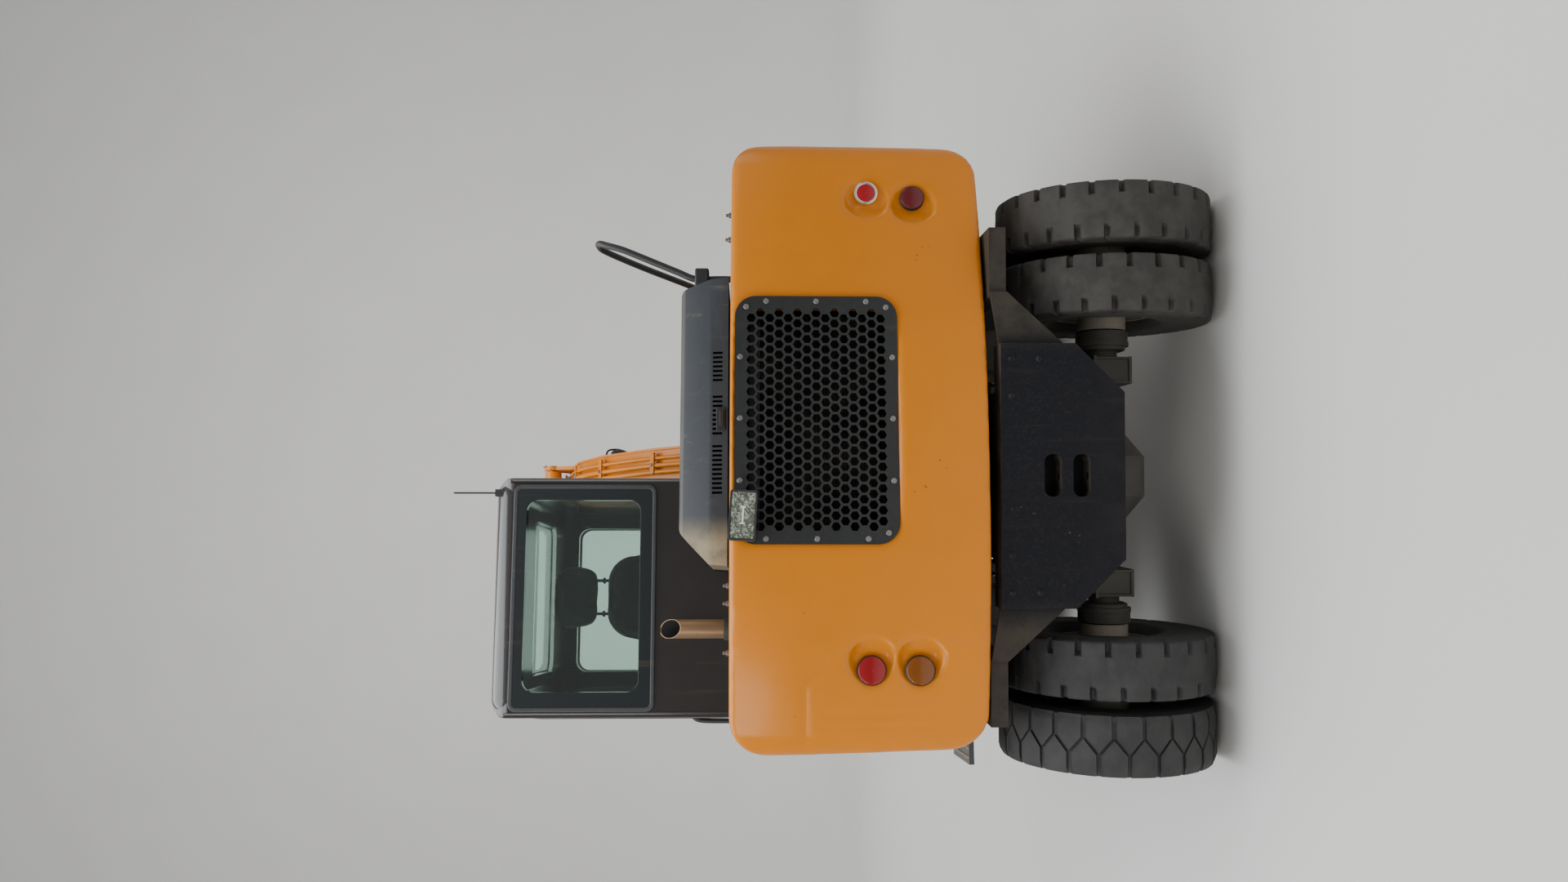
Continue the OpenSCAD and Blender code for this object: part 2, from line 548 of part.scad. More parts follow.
// Dish round a lamp: a flat seat, then a floor that leans out towards the middle
module lamp_dish(l) translate([l[0], tail_y(l[0], lamp_sink), l[1]]) {
  s = l[0] > 0 ? 1 : -1;
  rotate([90, 0, 0]) cylinder(h = 100, r = l[2] + 4, $fn = 48);
  intersection() {
    translate([-s * l[2], 0, 0]) rotate([0, 0, s * dish_lean]) rotate([90, 0, 0]) cylinder(h = 200, r = dish_r, $fn = 48);
    translate([-200, -100, -100]) cube([400, 100, 200]);
  }
}
module counterweight() color(orange) on_upper() {
  hw = upper_w / 2;
  difference() {
    intersection() {
      plan(tail_z, tail_top) difference() {
        polygon(tail_outline);
        polygon(concat([[-tail_in_x, tail_front_y + 1]], tail_inner(tail_wall, 0), [[tail_in_x, tail_front_y + 1]]));
      }
      across(-tail_back - 10, tail_front_y + 10) polygon(concat(
        arc([hw - tail_edge_r, tail_top - tail_edge_r], tail_edge_r, 0, 90, 8),
        arc([-hw + tail_edge_r, tail_top - tail_edge_r], tail_edge_r, 90, 180, 8),
        arc([-hw + tail_edge_r + tail_taper, tail_z + tail_edge_r], tail_edge_r, 180, 270, 8),
        arc([hw - tail_edge_r - tail_taper, tail_z + tail_edge_r], tail_edge_r, 270, 360, 8)));
    }
    // flat seat of the grille and the opening behind it
    across(-tail_back - 10, grille_y) translate([grille_x, grille_z]) rounded(grille_w + 6, grille_h + 6, grille_r + 3);
    across(-tail_back - 10, -tail_back + tail_wall + 60) translate([grille_x, grille_z])
      rounded(grille_w - 60, grille_h - 60, 50);
    for (l = tail_lamps) lamp_dish(l);
  }
}
// Grille: a frame with a hexagon mesh, points up
hex_pitch = 40.6;
hex_bar = 9;
module grille() color([0.1, 0.1, 0.1]) on_upper()
  across(grille_y - grille_t - seat_gap, grille_y - seat_gap) translate([grille_x, grille_z]) difference() {
    rounded(grille_w, grille_h, grille_r);
    row = hex_pitch * sqrt(3) / 2;
    columns = floor((grille_w / 2 - grille_rim) / hex_pitch);
    rows = floor((grille_h / 2 - grille_rim) / row);
    for (j = [-rows:rows], i = [-columns:columns]) {
      x = (i + (abs(j) % 2) / 2) * hex_pitch;
      z = j * row;
      corner = max(abs(x) + hex_pitch / 2 - grille_w / 2 + grille_r, 0);
      rise = max(abs(z) + hex_pitch / 2 - grille_h / 2 + grille_r, 0);
      if (abs(x) < grille_w / 2 - grille_rim - hex_pitch / 2 && norm([corner, rise]) < grille_r - 12)
        translate([x, z]) rotate(30) circle((hex_pitch - hex_bar) / sqrt(3), $fn = 6);
    }
  }

// House: firewall, top cover and side posts round the engine
house_top = tail_top - 8;
house_t = 30;
door_t = 25;
door_pin_r = 6;
left_door_edge_y = -cab_back - house_t - 2 * gap;
right_door_front_y = -320;
right_door_edge_y = right_door_front_y - house_t - 2 * gap;
door_pivots = [[-body_w / 2 + 10 + door_t / 2, left_door_edge_y - door_t / 2],
  [body_w / 2 - 10 - door_t / 2, right_door_edge_y - door_t / 2]];
hood_x = 62;
hood_base_w = 1130;
hood_back_y = -tail_back + 160;
hood_front_y = -cab_back - 60;
hood_axis_y = hood_front_y + 22;
hood_hinge_x = 350;
hood_pin_r = 7;
module house() color(dark_grey) on_upper() {
  hw = body_w / 2;
  // top cover with the hood's opening
  difference() {
    union() {
      box([-hw + 10, tail_front_y + seat_gap, house_top - house_t], [hw - 10, -cab_back - house_t + 1, house_top]);
      plan(house_top - house_t, house_top) polygon(concat([[-tail_in_x + seat_gap, tail_front_y + 1]],
        tail_inner(tail_wall + seat_gap, seat_gap), [[tail_in_x - seat_gap, tail_front_y + 1]]));
    }
    box([hood_x - hood_base_w / 2 + 60, hood_back_y + 30, house_top - 100],
      [hood_x + hood_base_w / 2 - 40, hood_front_y - 40, house_top + 1]);
  }
  box([boom_x + cheek_x + 40, -cab_back - house_t, house_top - house_t], [hw - 10, right_door_front_y, house_top]);
  // firewall behind the cab and beside the boom
  box([-hw + 10, -cab_back - house_t, deck_top + seat_gap], [boom_x + cheek_x + 40 + house_t, -cab_back - seat_gap - 10, house_top]);
  box([boom_x + cheek_x + 40, -cab_back - house_t, deck_top + seat_gap],
    [boom_x + cheek_x + 40 + house_t, right_door_front_y, house_top - house_t + 1]);
  box([boom_x + cheek_x + 40, right_door_front_y - house_t, deck_top + seat_gap],
    [hw - 10, right_door_front_y, house_top - house_t + 1]);
  for (p = door_pivots) translate([p[0], p[1], house_top - house_t - 29]) cylinder(h = 30, r = door_pin_r, $fn = 24);
  // hinge brackets of the hood
  for (s = [-1, 1]) {
    side(20, hood_x + s * hood_hinge_x) {
      translate([hood_axis_y, hood_axis_z]) circle(14, $fn = 32);
      translate([hood_axis_y - 12, house_top - 1]) square([24, hood_axis_z - house_top + 1]);
    }
    cross_pin(hood_axis_y, hood_axis_z, hood_pin_r, 2 * (10 + gap + 16) + 4, x = hood_x + s * hood_hinge_x);
  }
}
// Engine and radiator as plain blocks
radiator_y = -tail_back + tail_wall + 60;
module engine() color([0.3, 0.3, 0.32]) on_upper() {
  box([grille_x - 430, radiator_y, deck_top + seat_gap], [grille_x + 430, radiator_y + 90, house_top - 60]);
  box([grille_x - 260, radiator_y + 89, deck_top + seat_gap], [grille_x + 300, -cab_back - 60, house_top - 90]);
}
// Hood: a lid with sloping ends and a row of slots on its rear face
hood_h = 190;
hood_z = tail_top + 8;
hood_axis_z = hood_z + hood_h - 16;
hood_t = 20;
hood_slope_left = 128;
hood_slope_right = 40;
module hood_outline(inset) polygon([[-hood_base_w / 2 + inset, 0], [-hood_base_w / 2 + 5 + inset, 70 - inset * 0.4],
  [-hood_base_w / 2 + hood_slope_left + inset * 0.6, hood_h - inset],
  [hood_base_w / 2 - hood_slope_right - inset, hood_h - inset],
  [hood_base_w / 2 - 5 - inset, 70 - inset * 0.4], [hood_base_w / 2 - inset, 0]]);
module hood() color(dark_grey) on_upper() {
  hood_shell();
  for (s = [-1, 1], t = [-1, 1]) difference() {
    side(16, hood_x + s * hood_hinge_x + t * (10 + gap + 8)) {
      translate([hood_axis_y, hood_axis_z]) circle(14, $fn = 32);
      translate([hood_front_y - 1, hood_axis_z - 14]) square([hood_axis_y - hood_front_y + 1, 28]);
    }
    cross_pin(hood_axis_y, hood_axis_z, hood_pin_r + pin_fit, 200, x = hood_x + s * hood_hinge_x);
  }
}
module hood_shell() translate([hood_x, 0, hood_z]) difference() {
  intersection() {
    across(hood_back_y, hood_front_y) hood_outline(0);
    side(hood_base_w + 2) polygon([[hood_back_y, -1], [hood_back_y + 12, 75], [hood_back_y + 70, hood_h + 1],
      [hood_front_y, hood_h + 1], [hood_front_y, -1]]);
  }
  translate([0, 0, -0.01]) intersection() {
    across(hood_back_y + hood_t, hood_front_y - hood_t) hood_outline(hood_t);
    side(hood_base_w) polygon([[hood_back_y + hood_t, -1], [hood_back_y + hood_t + 12, 75],
      [hood_back_y + hood_t + 65, hood_h + 1], [hood_front_y, hood_h + 1], [hood_front_y, -1]]);
  }
  // slots in three groups
  for (g = [[-290, 11], [-60, 9], [150, 7]], i = [0:g[1] - 1])
    translate([g[0] + 18 * i, hood_back_y - 10, 22]) cube([9, 60, 38]);
}
// Side doors, flat panels with a folded edge
module side_door(p, y0, y1) color(orange) on_upper() difference() {
  box([p[0] - door_t / 2, y0, deck_top + 8], [p[0] + door_t / 2, y1, house_top - house_t - 8]);
  translate([p[0], p[1], deck_top]) cylinder(h = 36, r = door_pin_r + pin_fit, $fn = 24);
  translate([p[0], p[1], house_top - house_t - 36]) cylinder(h = 36, r = door_pin_r + pin_fit, $fn = 24);
}
module side_door_left() side_door(door_pivots[0], tail_front_y + gap, left_door_edge_y);
module side_door_right() side_door(door_pivots[1], tail_front_y + gap, right_door_edge_y);

// Fuel and oil tanks with a tool box in front, right of the boom
tank_x0 = boom_x + cheek_x + 60;
tank_top = 1760;
module tank_box() color(orange) on_upper() {
  side(body_w / 2 - 15 - tank_x0, (body_w / 2 - 15 + tank_x0) / 2) polygon([
    [right_door_front_y + seat_gap, deck_top + seat_gap], [right_door_front_y + seat_gap, tank_top],
    [deck_front - 420, tank_top], [deck_front - 400, tank_top - 20], [deck_front - 400, deck_top + 330],
    [deck_front - 70, deck_top + 330], [deck_front - 30, deck_top + 290], [deck_front - 10, deck_top + seat_gap]]);
  translate([tank_x0 + 150, -60, tank_top - 1]) cylinder(h = 40, r = 60, $fn = 48);
}

// Cab: hollow shell with its windows and its door opening cut
cab_x0 = -body_w / 2 + 9;
cab_x = cab_x0 + cab_w / 2;
cab_top = deck_top + cab_h;
cab_edge_r = 70;
module cab_side_outline(e) polygon([[-cab_back + e, deck_top + e], [-cab_back + e, cab_top - 60 - e * 0.4],
  [-cab_back + 60 + e * 0.4, cab_top - e], [100, cab_top - e], [cab_front - 110 - e * 0.7, cab_top - 25 - e],
  [cab_front - 60 - e, cab_top - 75 - e * 0.6], [cab_front - e, deck_top + 790], [cab_front - e, deck_top + e]]);
module cab_rear_outline(e) {
  h = cab_h - 2 * e;
  w = cab_w - 2 * e;
  translate([cab_x, deck_top + cab_h / 2]) {
    rounded(w, h, cab_edge_r - e * 0.5);
    translate([-w / 2, -h / 2]) square([w, h / 2]);
  }
}
// Openings as columns: middle along, middle up, length, height, corner radius
rear_window = [cab_x + 5, 2607, 815, 492, 50];
roof_window = [cab_x, 250, 760, 680, 50];
front_window = [cab_x, 2300, 790, 1100, 60];
foot_window = [cab_x, 1585, 790, 230, 60];
right_window = [-60, 2385, 1180, 860, 80];
quarter_window = [-600, 2385, 330, 860, 60];
door_open = [120, 2040, 900, 1740, 90];
door_pane = [120, 2370, 740, 910, 70];
module opening(w, grow = 0) translate([w[0], w[1]]) rounded(w[2] + 2 * grow, w[3] + 2 * grow, w[4] + grow);
module cab_holes(grow) {
  across(-cab_back - 20, -cab_back + 100) opening(rear_window, grow);
  across(cab_front - 220, cab_front + 50) { opening(front_window, grow); opening(foot_window, grow); }
  plan(cab_top - 200, cab_top + 50) opening(roof_window, grow);
  side(100, cab_x0 + cab_w) opening(right_window, grow);
  side(100, cab_x0) opening(quarter_window, grow);
}
// Lift-off hinges of the cab door: pins on the shell, sleeves on the door
cab_hinge = [cab_x0 - 14, door_open[0] - door_open[2] / 2 + gap / 2];
cab_hinge_z = [deck_top + 260, deck_top + 1560];
module cab_shell() color(cab_brown) on_upper() {
  cab_panels();
  for (z = cab_hinge_z) {
    translate([cab_hinge[0], cab_hinge[1], z]) cylinder(h = 40, r = 9, $fn = 32);
    translate([cab_hinge[0], cab_hinge[1], z + 39]) cylinder(h = 44, r = 4, $fn = 32);
    box([cab_hinge[0], cab_hinge[1] - 40, z], [cab_x0 + 1, cab_hinge[1], z + 40]);
  }
}
floor_rise = 250;
cab_floor_t = 8;
module cab_floor() box([cab_x0 + cab_wall + gap, -cab_back + cab_wall - 1, deck_top + cab_wall + floor_rise - cab_floor_t],
  [cab_x0 + cab_w - cab_wall + 1, cab_front - cab_wall + 1, deck_top + cab_wall + floor_rise]);
module cab_panels() translate([0, 0, seat_gap]) {
  cab_floor();
  cab_walls();
}
module cab_walls() difference() {
  intersection() {
    side(cab_w, cab_x) cab_side_outline(0);
    across(-cab_back - 1, cab_front + 1) cab_rear_outline(0);
  }
  intersection() {
    side(cab_w - 2 * cab_wall, cab_x) cab_side_outline(cab_wall);
    across(-cab_back, cab_front) cab_rear_outline(cab_wall);
  }
  cab_holes(0);
  side(100, cab_x0) opening(door_open);
}
// Panes, each in its opening
pane_t = 6;
module cab_glass() color(glass_green, 0.5) on_upper() translate([0, 0, seat_gap]) {
  difference() {
    intersection() {
      side(cab_w - 30, cab_x) cab_side_outline(15);
      across(-cab_back, cab_front) cab_rear_outline(15);
      cab_holes(-seat_gap);
    }
    intersection() {
      side(cab_w - 30 - 2 * pane_t, cab_x) cab_side_outline(15 + pane_t);
      across(-cab_back, cab_front) cab_rear_outline(15 + pane_t);
    }
  }
}
module door_slab(t0, t1, w, grow) translate([cab_x0 + t0, 0, 0]) rotate([90, 0, 90]) linear_extrude(t1 - t0) opening(w, grow);
module cab_door() color(cab_brown) on_upper() {
  difference() {
    door_slab(0, cab_wall, door_open, -gap);
    door_slab(-1, cab_wall + 1, door_pane, 0);
  }
  for (z = cab_hinge_z) difference() {
    union() {
      translate([cab_hinge[0], cab_hinge[1], z + 42]) cylinder(h = 40, r = 9, $fn = 32);
      box([cab_hinge[0], cab_hinge[1], z + 42], [cab_x0 + 1, cab_hinge[1] + 40, z + 82]);
    }
    translate([cab_hinge[0], cab_hinge[1], z]) cylinder(h = 120, r = 4 + pin_fit, $fn = 32);
  }
}
module door_glass() color(glass_green, 0.5) on_upper() door_slab(15, 15 + pane_t, door_pane, -seat_gap);

// Seat with its base and headrest
seat_x = cab_x;
floor_z = deck_top + cab_wall + floor_rise + seat_gap;
seat_y = -530;
seat_top = 540;
back_top = 1157;
headrest_top = 1385;
module seat() color([0.1, 0.1, 0.1]) on_upper() {
  box([seat_x - 200, seat_y + 10, floor_z + seat_gap], [seat_x + 200, seat_y + 490, floor_z + seat_top - 149]);
  box([seat_x - 230, seat_y, floor_z + seat_top - 150], [seat_x + 230, seat_y + 530, floor_z + seat_top]);
  side(430, seat_x) translate([seat_y, floor_z]) polygon([[0, seat_top - 1], [140, seat_top - 1], [60, back_top], [-30, back_top]]);
  side(295, seat_x) translate([seat_y, floor_z]) polygon([[-15, headrest_top - 210], [65, headrest_top - 210],
    [50, headrest_top], [-25, headrest_top]]);
  for (s = [-1, 1]) translate([seat_x + s * 75, seat_y + 25, floor_z + back_top - 10]) cylinder(h = 40, r = 8, $fn = 16);
}
// Side consoles with levers, and the steering column
module console() color([0.15, 0.15, 0.15]) on_upper() {
  for (s = [-1, 1]) {
    box([seat_x + s * 320 - 65, -380, floor_z + seat_gap], [seat_x + s * 320 + 65, 120, floor_z + 620]);
    translate([seat_x + s * 320, 60, floor_z + 619]) cylinder(h = 190, r = 16, $fn = 24);
    translate([seat_x + s * 320, 60, floor_z + 800]) sphere(r = 32, $fn = 24);
  }
  side(110, seat_x) polygon([[420, floor_z + seat_gap], [560, floor_z + seat_gap], [440, floor_z + 640], [370, floor_z + 640]]);
  translate([seat_x, 395, floor_z + 660]) rotate([-20, 0, 0]) {
    cylinder(h = 30, r = 45, $fn = 32);
    translate([0, 0, 18]) rotate_extrude($fn = 48) translate([170, 0]) circle(14, $fn = 16);
    for (a = [0, 120, 240]) rotate([0, 90, a]) cylinder(h = 165, r = 9, $fn = 16);
  }
}

// Exhaust pipe with a slanted mouth
exhaust_at = [-741, -1290];
exhaust_top = 2238;
module exhaust() color(steel) on_upper() translate([exhaust_at[0], exhaust_at[1], house_top + seat_gap]) difference() {
  cylinder(h = exhaust_top - house_top, r = 37, $fn = 48);
  translate([0, 0, 20]) cylinder(h = 400, r = 33, $fn = 48);
  translate([0, 0, exhaust_top - house_top - 40]) rotate([49, 0, 8]) translate([-100, -100, 0]) cube(200);
}
// Handrail from the top cover down to the tank
rail_r = 16;
rail_x = 878;
rail_path = [[rail_x, -560, house_top + seat_gap], [rail_x, -560, 2153], [rail_x + 142, -560, 2500],
  [rail_x + 167, -545, 2575], [rail_x + 184, -515, 2610], [rail_x + 189, -465, 2621], [rail_x + 179, -405, 2592],
  [rail_x + 102, -50, 2178], [rail_x + 20, 262, 1835], [rail_x + 12, 290, 1800], [rail_x + 12, 290, tank_top + seat_gap]];
module handrail() color(dark_grey) on_upper() {
  tube(rail_path, rail_r, 12);
  box([rail_x - 46, -600, 2085], [rail_x + 46, -520, 2153]);
}
// Aerial on a wedge on the cab's sloping rear roof edge
aerial_x = cab_x0 + cab_w - 65;
aerial_y = -cab_back + 30;
module aerial() color([0.1, 0.1, 0.1]) on_upper() {
  side(30, aerial_x) polygon([[aerial_y - 16, cab_top - 46 + 2 * seat_gap], [aerial_y + 16, cab_top - 14 + 2 * seat_gap],
    [aerial_y + 16, cab_top + 4], [aerial_y - 16, cab_top + 4]]);
  translate([aerial_x, aerial_y, cab_top]) cylinder(h = 185, r = 4, $fn = 12);
}
// Step at the upper's left side, hung from the deck
step_z = 992;
step_out_x = upper_w / 2 + 61;
module side_step() color([0.5, 0.48, 0.44]) on_upper() {
  box([-step_out_x, tail_front_y + 20, step_z], [-deck_hw + 30, tail_front_y + 370, step_z + 22]);
  for (y = [tail_front_y + 60, tail_front_y + 300])
    box([-deck_hw, y, step_z + 21], [-deck_hw + 25, y + 40, deck_z - seat_gap]);
}
// Lamps in the counterweight's dishes, and a work lamp on a bracket at the grille's corner
work_lamp = [-328, 1915];
work_lamp_size = [184, 62, 101];
module lamps() color([0.7, 0.1, 0.1]) on_upper() {
  for (l = tail_lamps) translate([l[0], tail_y(l[0], lamp_sink) - seat_gap, l[1]]) rotate([90, 0, 0])
    cylinder(h = 30, r = l[2], $fn = 48);
  y = tail_y(work_lamp[0] + 30, 0) - seat_gap;
  translate([work_lamp[0], y - 12 - work_lamp_size[1], work_lamp[1]]) rotate([0, 3, 0])
    translate([-work_lamp_size[0] / 2, 0, -work_lamp_size[2] / 2]) cube(work_lamp_size);
  box([work_lamp[0] - 30, y - 14, work_lamp[1] - 20], [work_lamp[0] + 30, y, work_lamp[1] + 40]);
}

// Boom: two side plates over a narrower box, from a table of stations
// Columns: along, up, half depth
boom_stations = [[0, 0, 94], [350, 275, 140], [800, 540, 175], [1200, 680, 196], [1500, 722, 200],
  [1950, 665, 190], [2600, 440, 160], [3200, 175, 118], [3420, 78, 100]];
function station_dir(t, i) = let (a = t[max(i - 1, 0)], b = t[min(i + 1, len(t) - 1)])
  unit([b[0] - a[0], b[1] - a[1]]);
function flank(t, i, s, e) = let (d = station_dir(t, i), h = t[i][2] - e)
  [t[i][0] * boom_len / 3600, t[i][1]] + s * h * [-d[1], d[0]];
function outline(t, e) = concat([for (i = [0:len(t) - 1]) flank(t, i, 1, e)],
  [for (i = [len(t) - 1:-1:0]) flank(t, i, -1, e)]);
module boom_frame() on_upper() translate([boom_x, boom_foot_y, boom_foot_z]) rotate([boom_angle, 0, 0]) children();
boom_plate = 12;
boom_eye = [1450, 365];
arm_foot = [1800, 1000];
fork_w = arm_w + 2 * gap;
fork_plate = 26;
arm_room_r = 325;
module boom() color(orange) {
  arm_pin();
  boom_body();
}
module boom_body() boom_frame() difference() {
  union() {
    side(boom_w - 2 * boom_plate) polygon(outline(boom_stations, 14));
    for (s = [-1, 1]) side(boom_plate, s * (boom_w - boom_plate) / 2) polygon(outline(boom_stations, 0));
    cross_pin(0, 0, 100, boom_w);
    // fork round the arm
    for (s = [-1, 1]) side(fork_plate, s * (fork_w + fork_plate) / 2) {
      translate([boom_len, 0]) circle(92, $fn = 48);
      polygon([[boom_len - 500, 90], [boom_len - 420, 290], [boom_len - 170, 190], [boom_len + 40, 83],
        [boom_len + 40, -83], [boom_len - 20, -90], [boom_len - 250, -30]]);
    }
    // clevis of the boom cylinder's eye, and of the arm cylinder's foot
    for (s = [-1, 1]) {
      side(22, s * (boom_cyl_d / 2 + gap + 11)) {
        translate(boom_eye) circle(60, $fn = 32);
        polygon([boom_eye + [-60, 0], boom_eye + [-190, 190], boom_eye + [190, 190], boom_eye + [60, 0]]);
      }
      side(22, s * (arm_cyl_d / 2 + gap + 11)) {
        translate(arm_foot) circle(58, $fn = 32);
        polygon([arm_foot + [58, 0], arm_foot + [130, -230], arm_foot + [-200, -160], arm_foot + [-58, 0]]);
      }
    }
    cross_pin(arm_foot[0], arm_foot[1], 25, arm_cyl_d + 2 * (gap + 22));
    for (s = [-1, 1]) cross_pin(0, 0, 35, cheek_t + gap + 12, x = s * (boom_w / 2 + (cheek_t + gap) / 2 - 3));
  }
  // room for the arm's root between the fork's plates
  cross_pin(boom_len, 0, arm_room_r, fork_w);
}
module arm_pin() boom_frame() cross_pin(boom_len, 0, arm_pin_r, fork_w + 2 * fork_plate + 8);
function turned(p, a) = [p[0] * cos(a) - p[1] * sin(a), p[0] * sin(a) + p[1] * cos(a)];
boom_eye_at = [boom_foot_y, boom_foot_z] + turned(boom_eye, boom_angle);
boom_span = reach_len(boom_cyl_foot, boom_eye_at);
module boom_barrel() color(orange) on_upper() along(boom_cyl_foot, boom_eye_at, boom_x)
  barrel_shape(900, boom_cyl_d, 58, 35);
module boom_rod() color(steel) on_upper() along(boom_cyl_foot, boom_eye_at, boom_x)
  rod_shape(575, boom_span, 35, 56, 100);

// Arm: a tapered box with a fork at its rear for the arm cylinder
arm_eye = [-380, 200];
arm_pin_r = 30;
module arm_frame() boom_frame() translate([0, boom_len, 0]) rotate([arm_angle, 0, 0]) children();
arm_outline = [[-120, -60], [-40, -125], [250, -120], [arm_len, -66], [arm_len, 66], [arm_len - 600, 92],
  [300, 225], [60, 270], [-110, 240]];
bucket_foot = [160, 350];
rocker_at = [arm_len - link_len, 0];
module arm() color(orange) arm_frame() difference() {
  union() {
    side(arm_w) polygon(arm_outline);
    cross_pin(0, 0, 85, arm_w);
    cross_pin(arm_len, 0, 66, arm_w);
    // rear fork
    for (s = [-1, 1]) side(20, s * (arm_w / 2 - 10)) {
      translate(arm_eye) circle(62, $fn = 32);
      polygon([arm_eye + [-30, -55], arm_eye + [10, 61], [60, 270], [-100, -60], [-230, 20]]);
    }
    // clevis of the bucket cylinder's foot
    for (s = [-1, 1]) side(20, s * (bucket_cyl_d / 2 + gap + 10)) {
      translate(bucket_foot) circle(52, $fn = 32);
      polygon([bucket_foot + [-52, 0], bucket_foot + [-110, -130], bucket_foot + [150, -150], bucket_foot + [52, 0]]);
    }
    cross_pin(bucket_foot[0], bucket_foot[1], 25, bucket_cyl_d + 2 * (gap + 20));
    cross_pin(rocker_at[0], rocker_at[1], 45, 2 * (bucket_ear_x + bucket_ear_t));
    cross_pin(rocker_at[0], rocker_at[1], 25, 2 * (rocker_x + rocker_t) + 16);
  }
  cross_pin(0, 0, arm_pin_r + pin_fit, arm_w + 10);
  cross_pin(arm_len, 0, 25 + pin_fit, arm_w + 10);
}
arm_eye_at = [boom_len, 0] + turned(arm_eye, arm_angle);
arm_span = reach_len(arm_foot, arm_eye_at);
module arm_barrel() color(orange) boom_frame() along(arm_foot, arm_eye_at) barrel_shape(1300, arm_cyl_d, 51, 32);
module arm_rod() color(steel) boom_frame() along(arm_foot, arm_eye_at) rod_shape(1000, arm_span, 32, 52, 90);

// Bucket: curved shell between two side plates, with ears and teeth
bucket_ear_x = arm_w / 2 + gap;
bucket_ear_t = 25;
rocker_x = bucket_ear_x + bucket_ear_t + gap;
rocker_t = 18;
module bucket_frame() arm_frame() translate([0, arm_len, 0]) rotate([bucket_angle, 0, 0]) children();
bucket_back = [90, -540];
bucket_back_r = 410;
tip = polar(bucket_r - 130, -110);
function bucket_outline(e, mouth) = concat([tip + [mouth, e]],
  arc(bucket_back, bucket_back_r - e, -80, 60, 12), [[-120, -130 - e], [-190 + mouth, -500]]);
module bucket() color([0.2, 0.19, 0.18]) bucket_frame() {
  difference() {
    side(bucket_w) polygon(bucket_outline(0, 0));
    side(bucket_w - 2 * bucket_t) polygon(concat([tip + [-60, bucket_t + 3]],
      arc(bucket_back, bucket_back_r - bucket_t, -80, 60, 12), [[-125, -152], [-260, -160], [-360, -500]]));
  }
  for (s = [-1, 1]) side(bucket_ear_t, s * (bucket_ear_x + bucket_ear_t / 2)) {
    circle(60, $fn = 32);
    translate([rocker_len, 0]) circle(58, $fn = 32);
    polygon([[-60, 0], [-112, -135], [bucket_back[0] + 215, -185], [rocker_len + 58, 0], [rocker_len, 57], [0, 59]]);
  }
  cross_pin(0, 0, 25, 2 * (bucket_ear_x + bucket_ear_t) + 10);
  cross_pin(rocker_len, 0, 25, 2 * (bucket_ear_x + bucket_ear_t) + 4);
  // teeth
  for (i = [0:4]) side(60, -bucket_w / 2 + 40 + i * (bucket_w - 80) / 4)
    polygon([tip + [60, -8], tip + [60, 40], tip + [-20, 30], polar(bucket_r, -110), tip + [-20, -14]]);
}
// Rocker: two plates and their stub pins
rocker_angle = bucket_angle;
rocker_tip = rocker_at + polar(rocker_len, rocker_angle);
module rocker() color([0.3, 0.28, 0.26]) arm_frame() for (s = [-1, 1]) difference() {
  union() {
    side(rocker_t, s * (rocker_x + rocker_t / 2)) {
      translate(rocker_at) circle(45, $fn = 32);
      translate(rocker_tip) circle(45, $fn = 32);
      polygon([rocker_at + polar(45, rocker_angle + 90), rocker_at + polar(45, rocker_angle - 90),
        rocker_tip + polar(45, rocker_angle - 90), rocker_tip + polar(45, rocker_angle + 90)]);
    }
    cross_pin(rocker_tip[0], rocker_tip[1], 25, rocker_x + rocker_t - link_in_x - 2, x = s * (rocker_x + rocker_t + link_in_x + 2) / 2);
  }
  cross_pin(rocker_at[0], rocker_at[1], 25 + pin_fit, 2 * rocker_t, x = s * (rocker_x + rocker_t / 2));
}
// Link: two bars round the rod's eye, joined by a tube
link_in_x = 42;
link_out_x = arm_w / 2 - 1;
link_end = rocker_tip + [link_len, 0];
module link() color([0.3, 0.28, 0.26]) arm_frame() difference() {
  union() {
    for (s = [-1, 1]) side(link_out_x - link_in_x, s * (link_out_x + link_in_x) / 2) {
      translate(rocker_tip) circle(44, $fn = 32);
      translate(link_end) circle(44, $fn = 32);
      translate([rocker_tip[0], rocker_tip[1] - 40]) square([link_len, 80]);
    }
    cross_pin(link_end[0], link_end[1], 43, 2 * link_in_x + 2);
    cross_pin(link_end[0] - 110, link_end[1], 30, 2 * link_in_x + 2);
  }
  cross_pin(rocker_tip[0], rocker_tip[1], 25 + pin_fit, 2 * link_out_x + 10);
  cross_pin(link_end[0], link_end[1], 25 + pin_fit, 2 * link_out_x + 10);
}
bucket_span = reach_len(bucket_foot, rocker_tip);
module bucket_barrel() color(orange) arm_frame() along(bucket_foot, rocker_tip) barrel_shape(880, bucket_cyl_d, 44, 28);
module bucket_rod() color(steel) arm_frame() along(bucket_foot, rocker_tip) rod_shape(680, bucket_span, 28, 44, 70);

chassis();
end_box();
axle_rear();
axle_front();
driveline();
ring_lower();
step_boxes();
knuckle_left();
knuckle_right();
tie_rod();
tyres_rear_left();
tyres_rear_right();
tyres_front_left();
tyres_front_right();
rims_rear_left();
rims_rear_right();
rims_front_left();
rims_front_right();
blade();
blade_barrel();
blade_rod();
deck();
ring_upper();
counterweight();
grille();
house();
engine();
hood();
side_door_left();
side_door_right();
tank_box();
cab_shell();
cab_glass();
cab_door();
door_glass();
seat();
console();
exhaust();
handrail();
aerial();
side_step();
lamps();
boom();
boom_barrel();
boom_rod();
arm();
arm_barrel();
arm_rod();
bucket();
bucket_barrel();
bucket_rod();
rocker();
link();
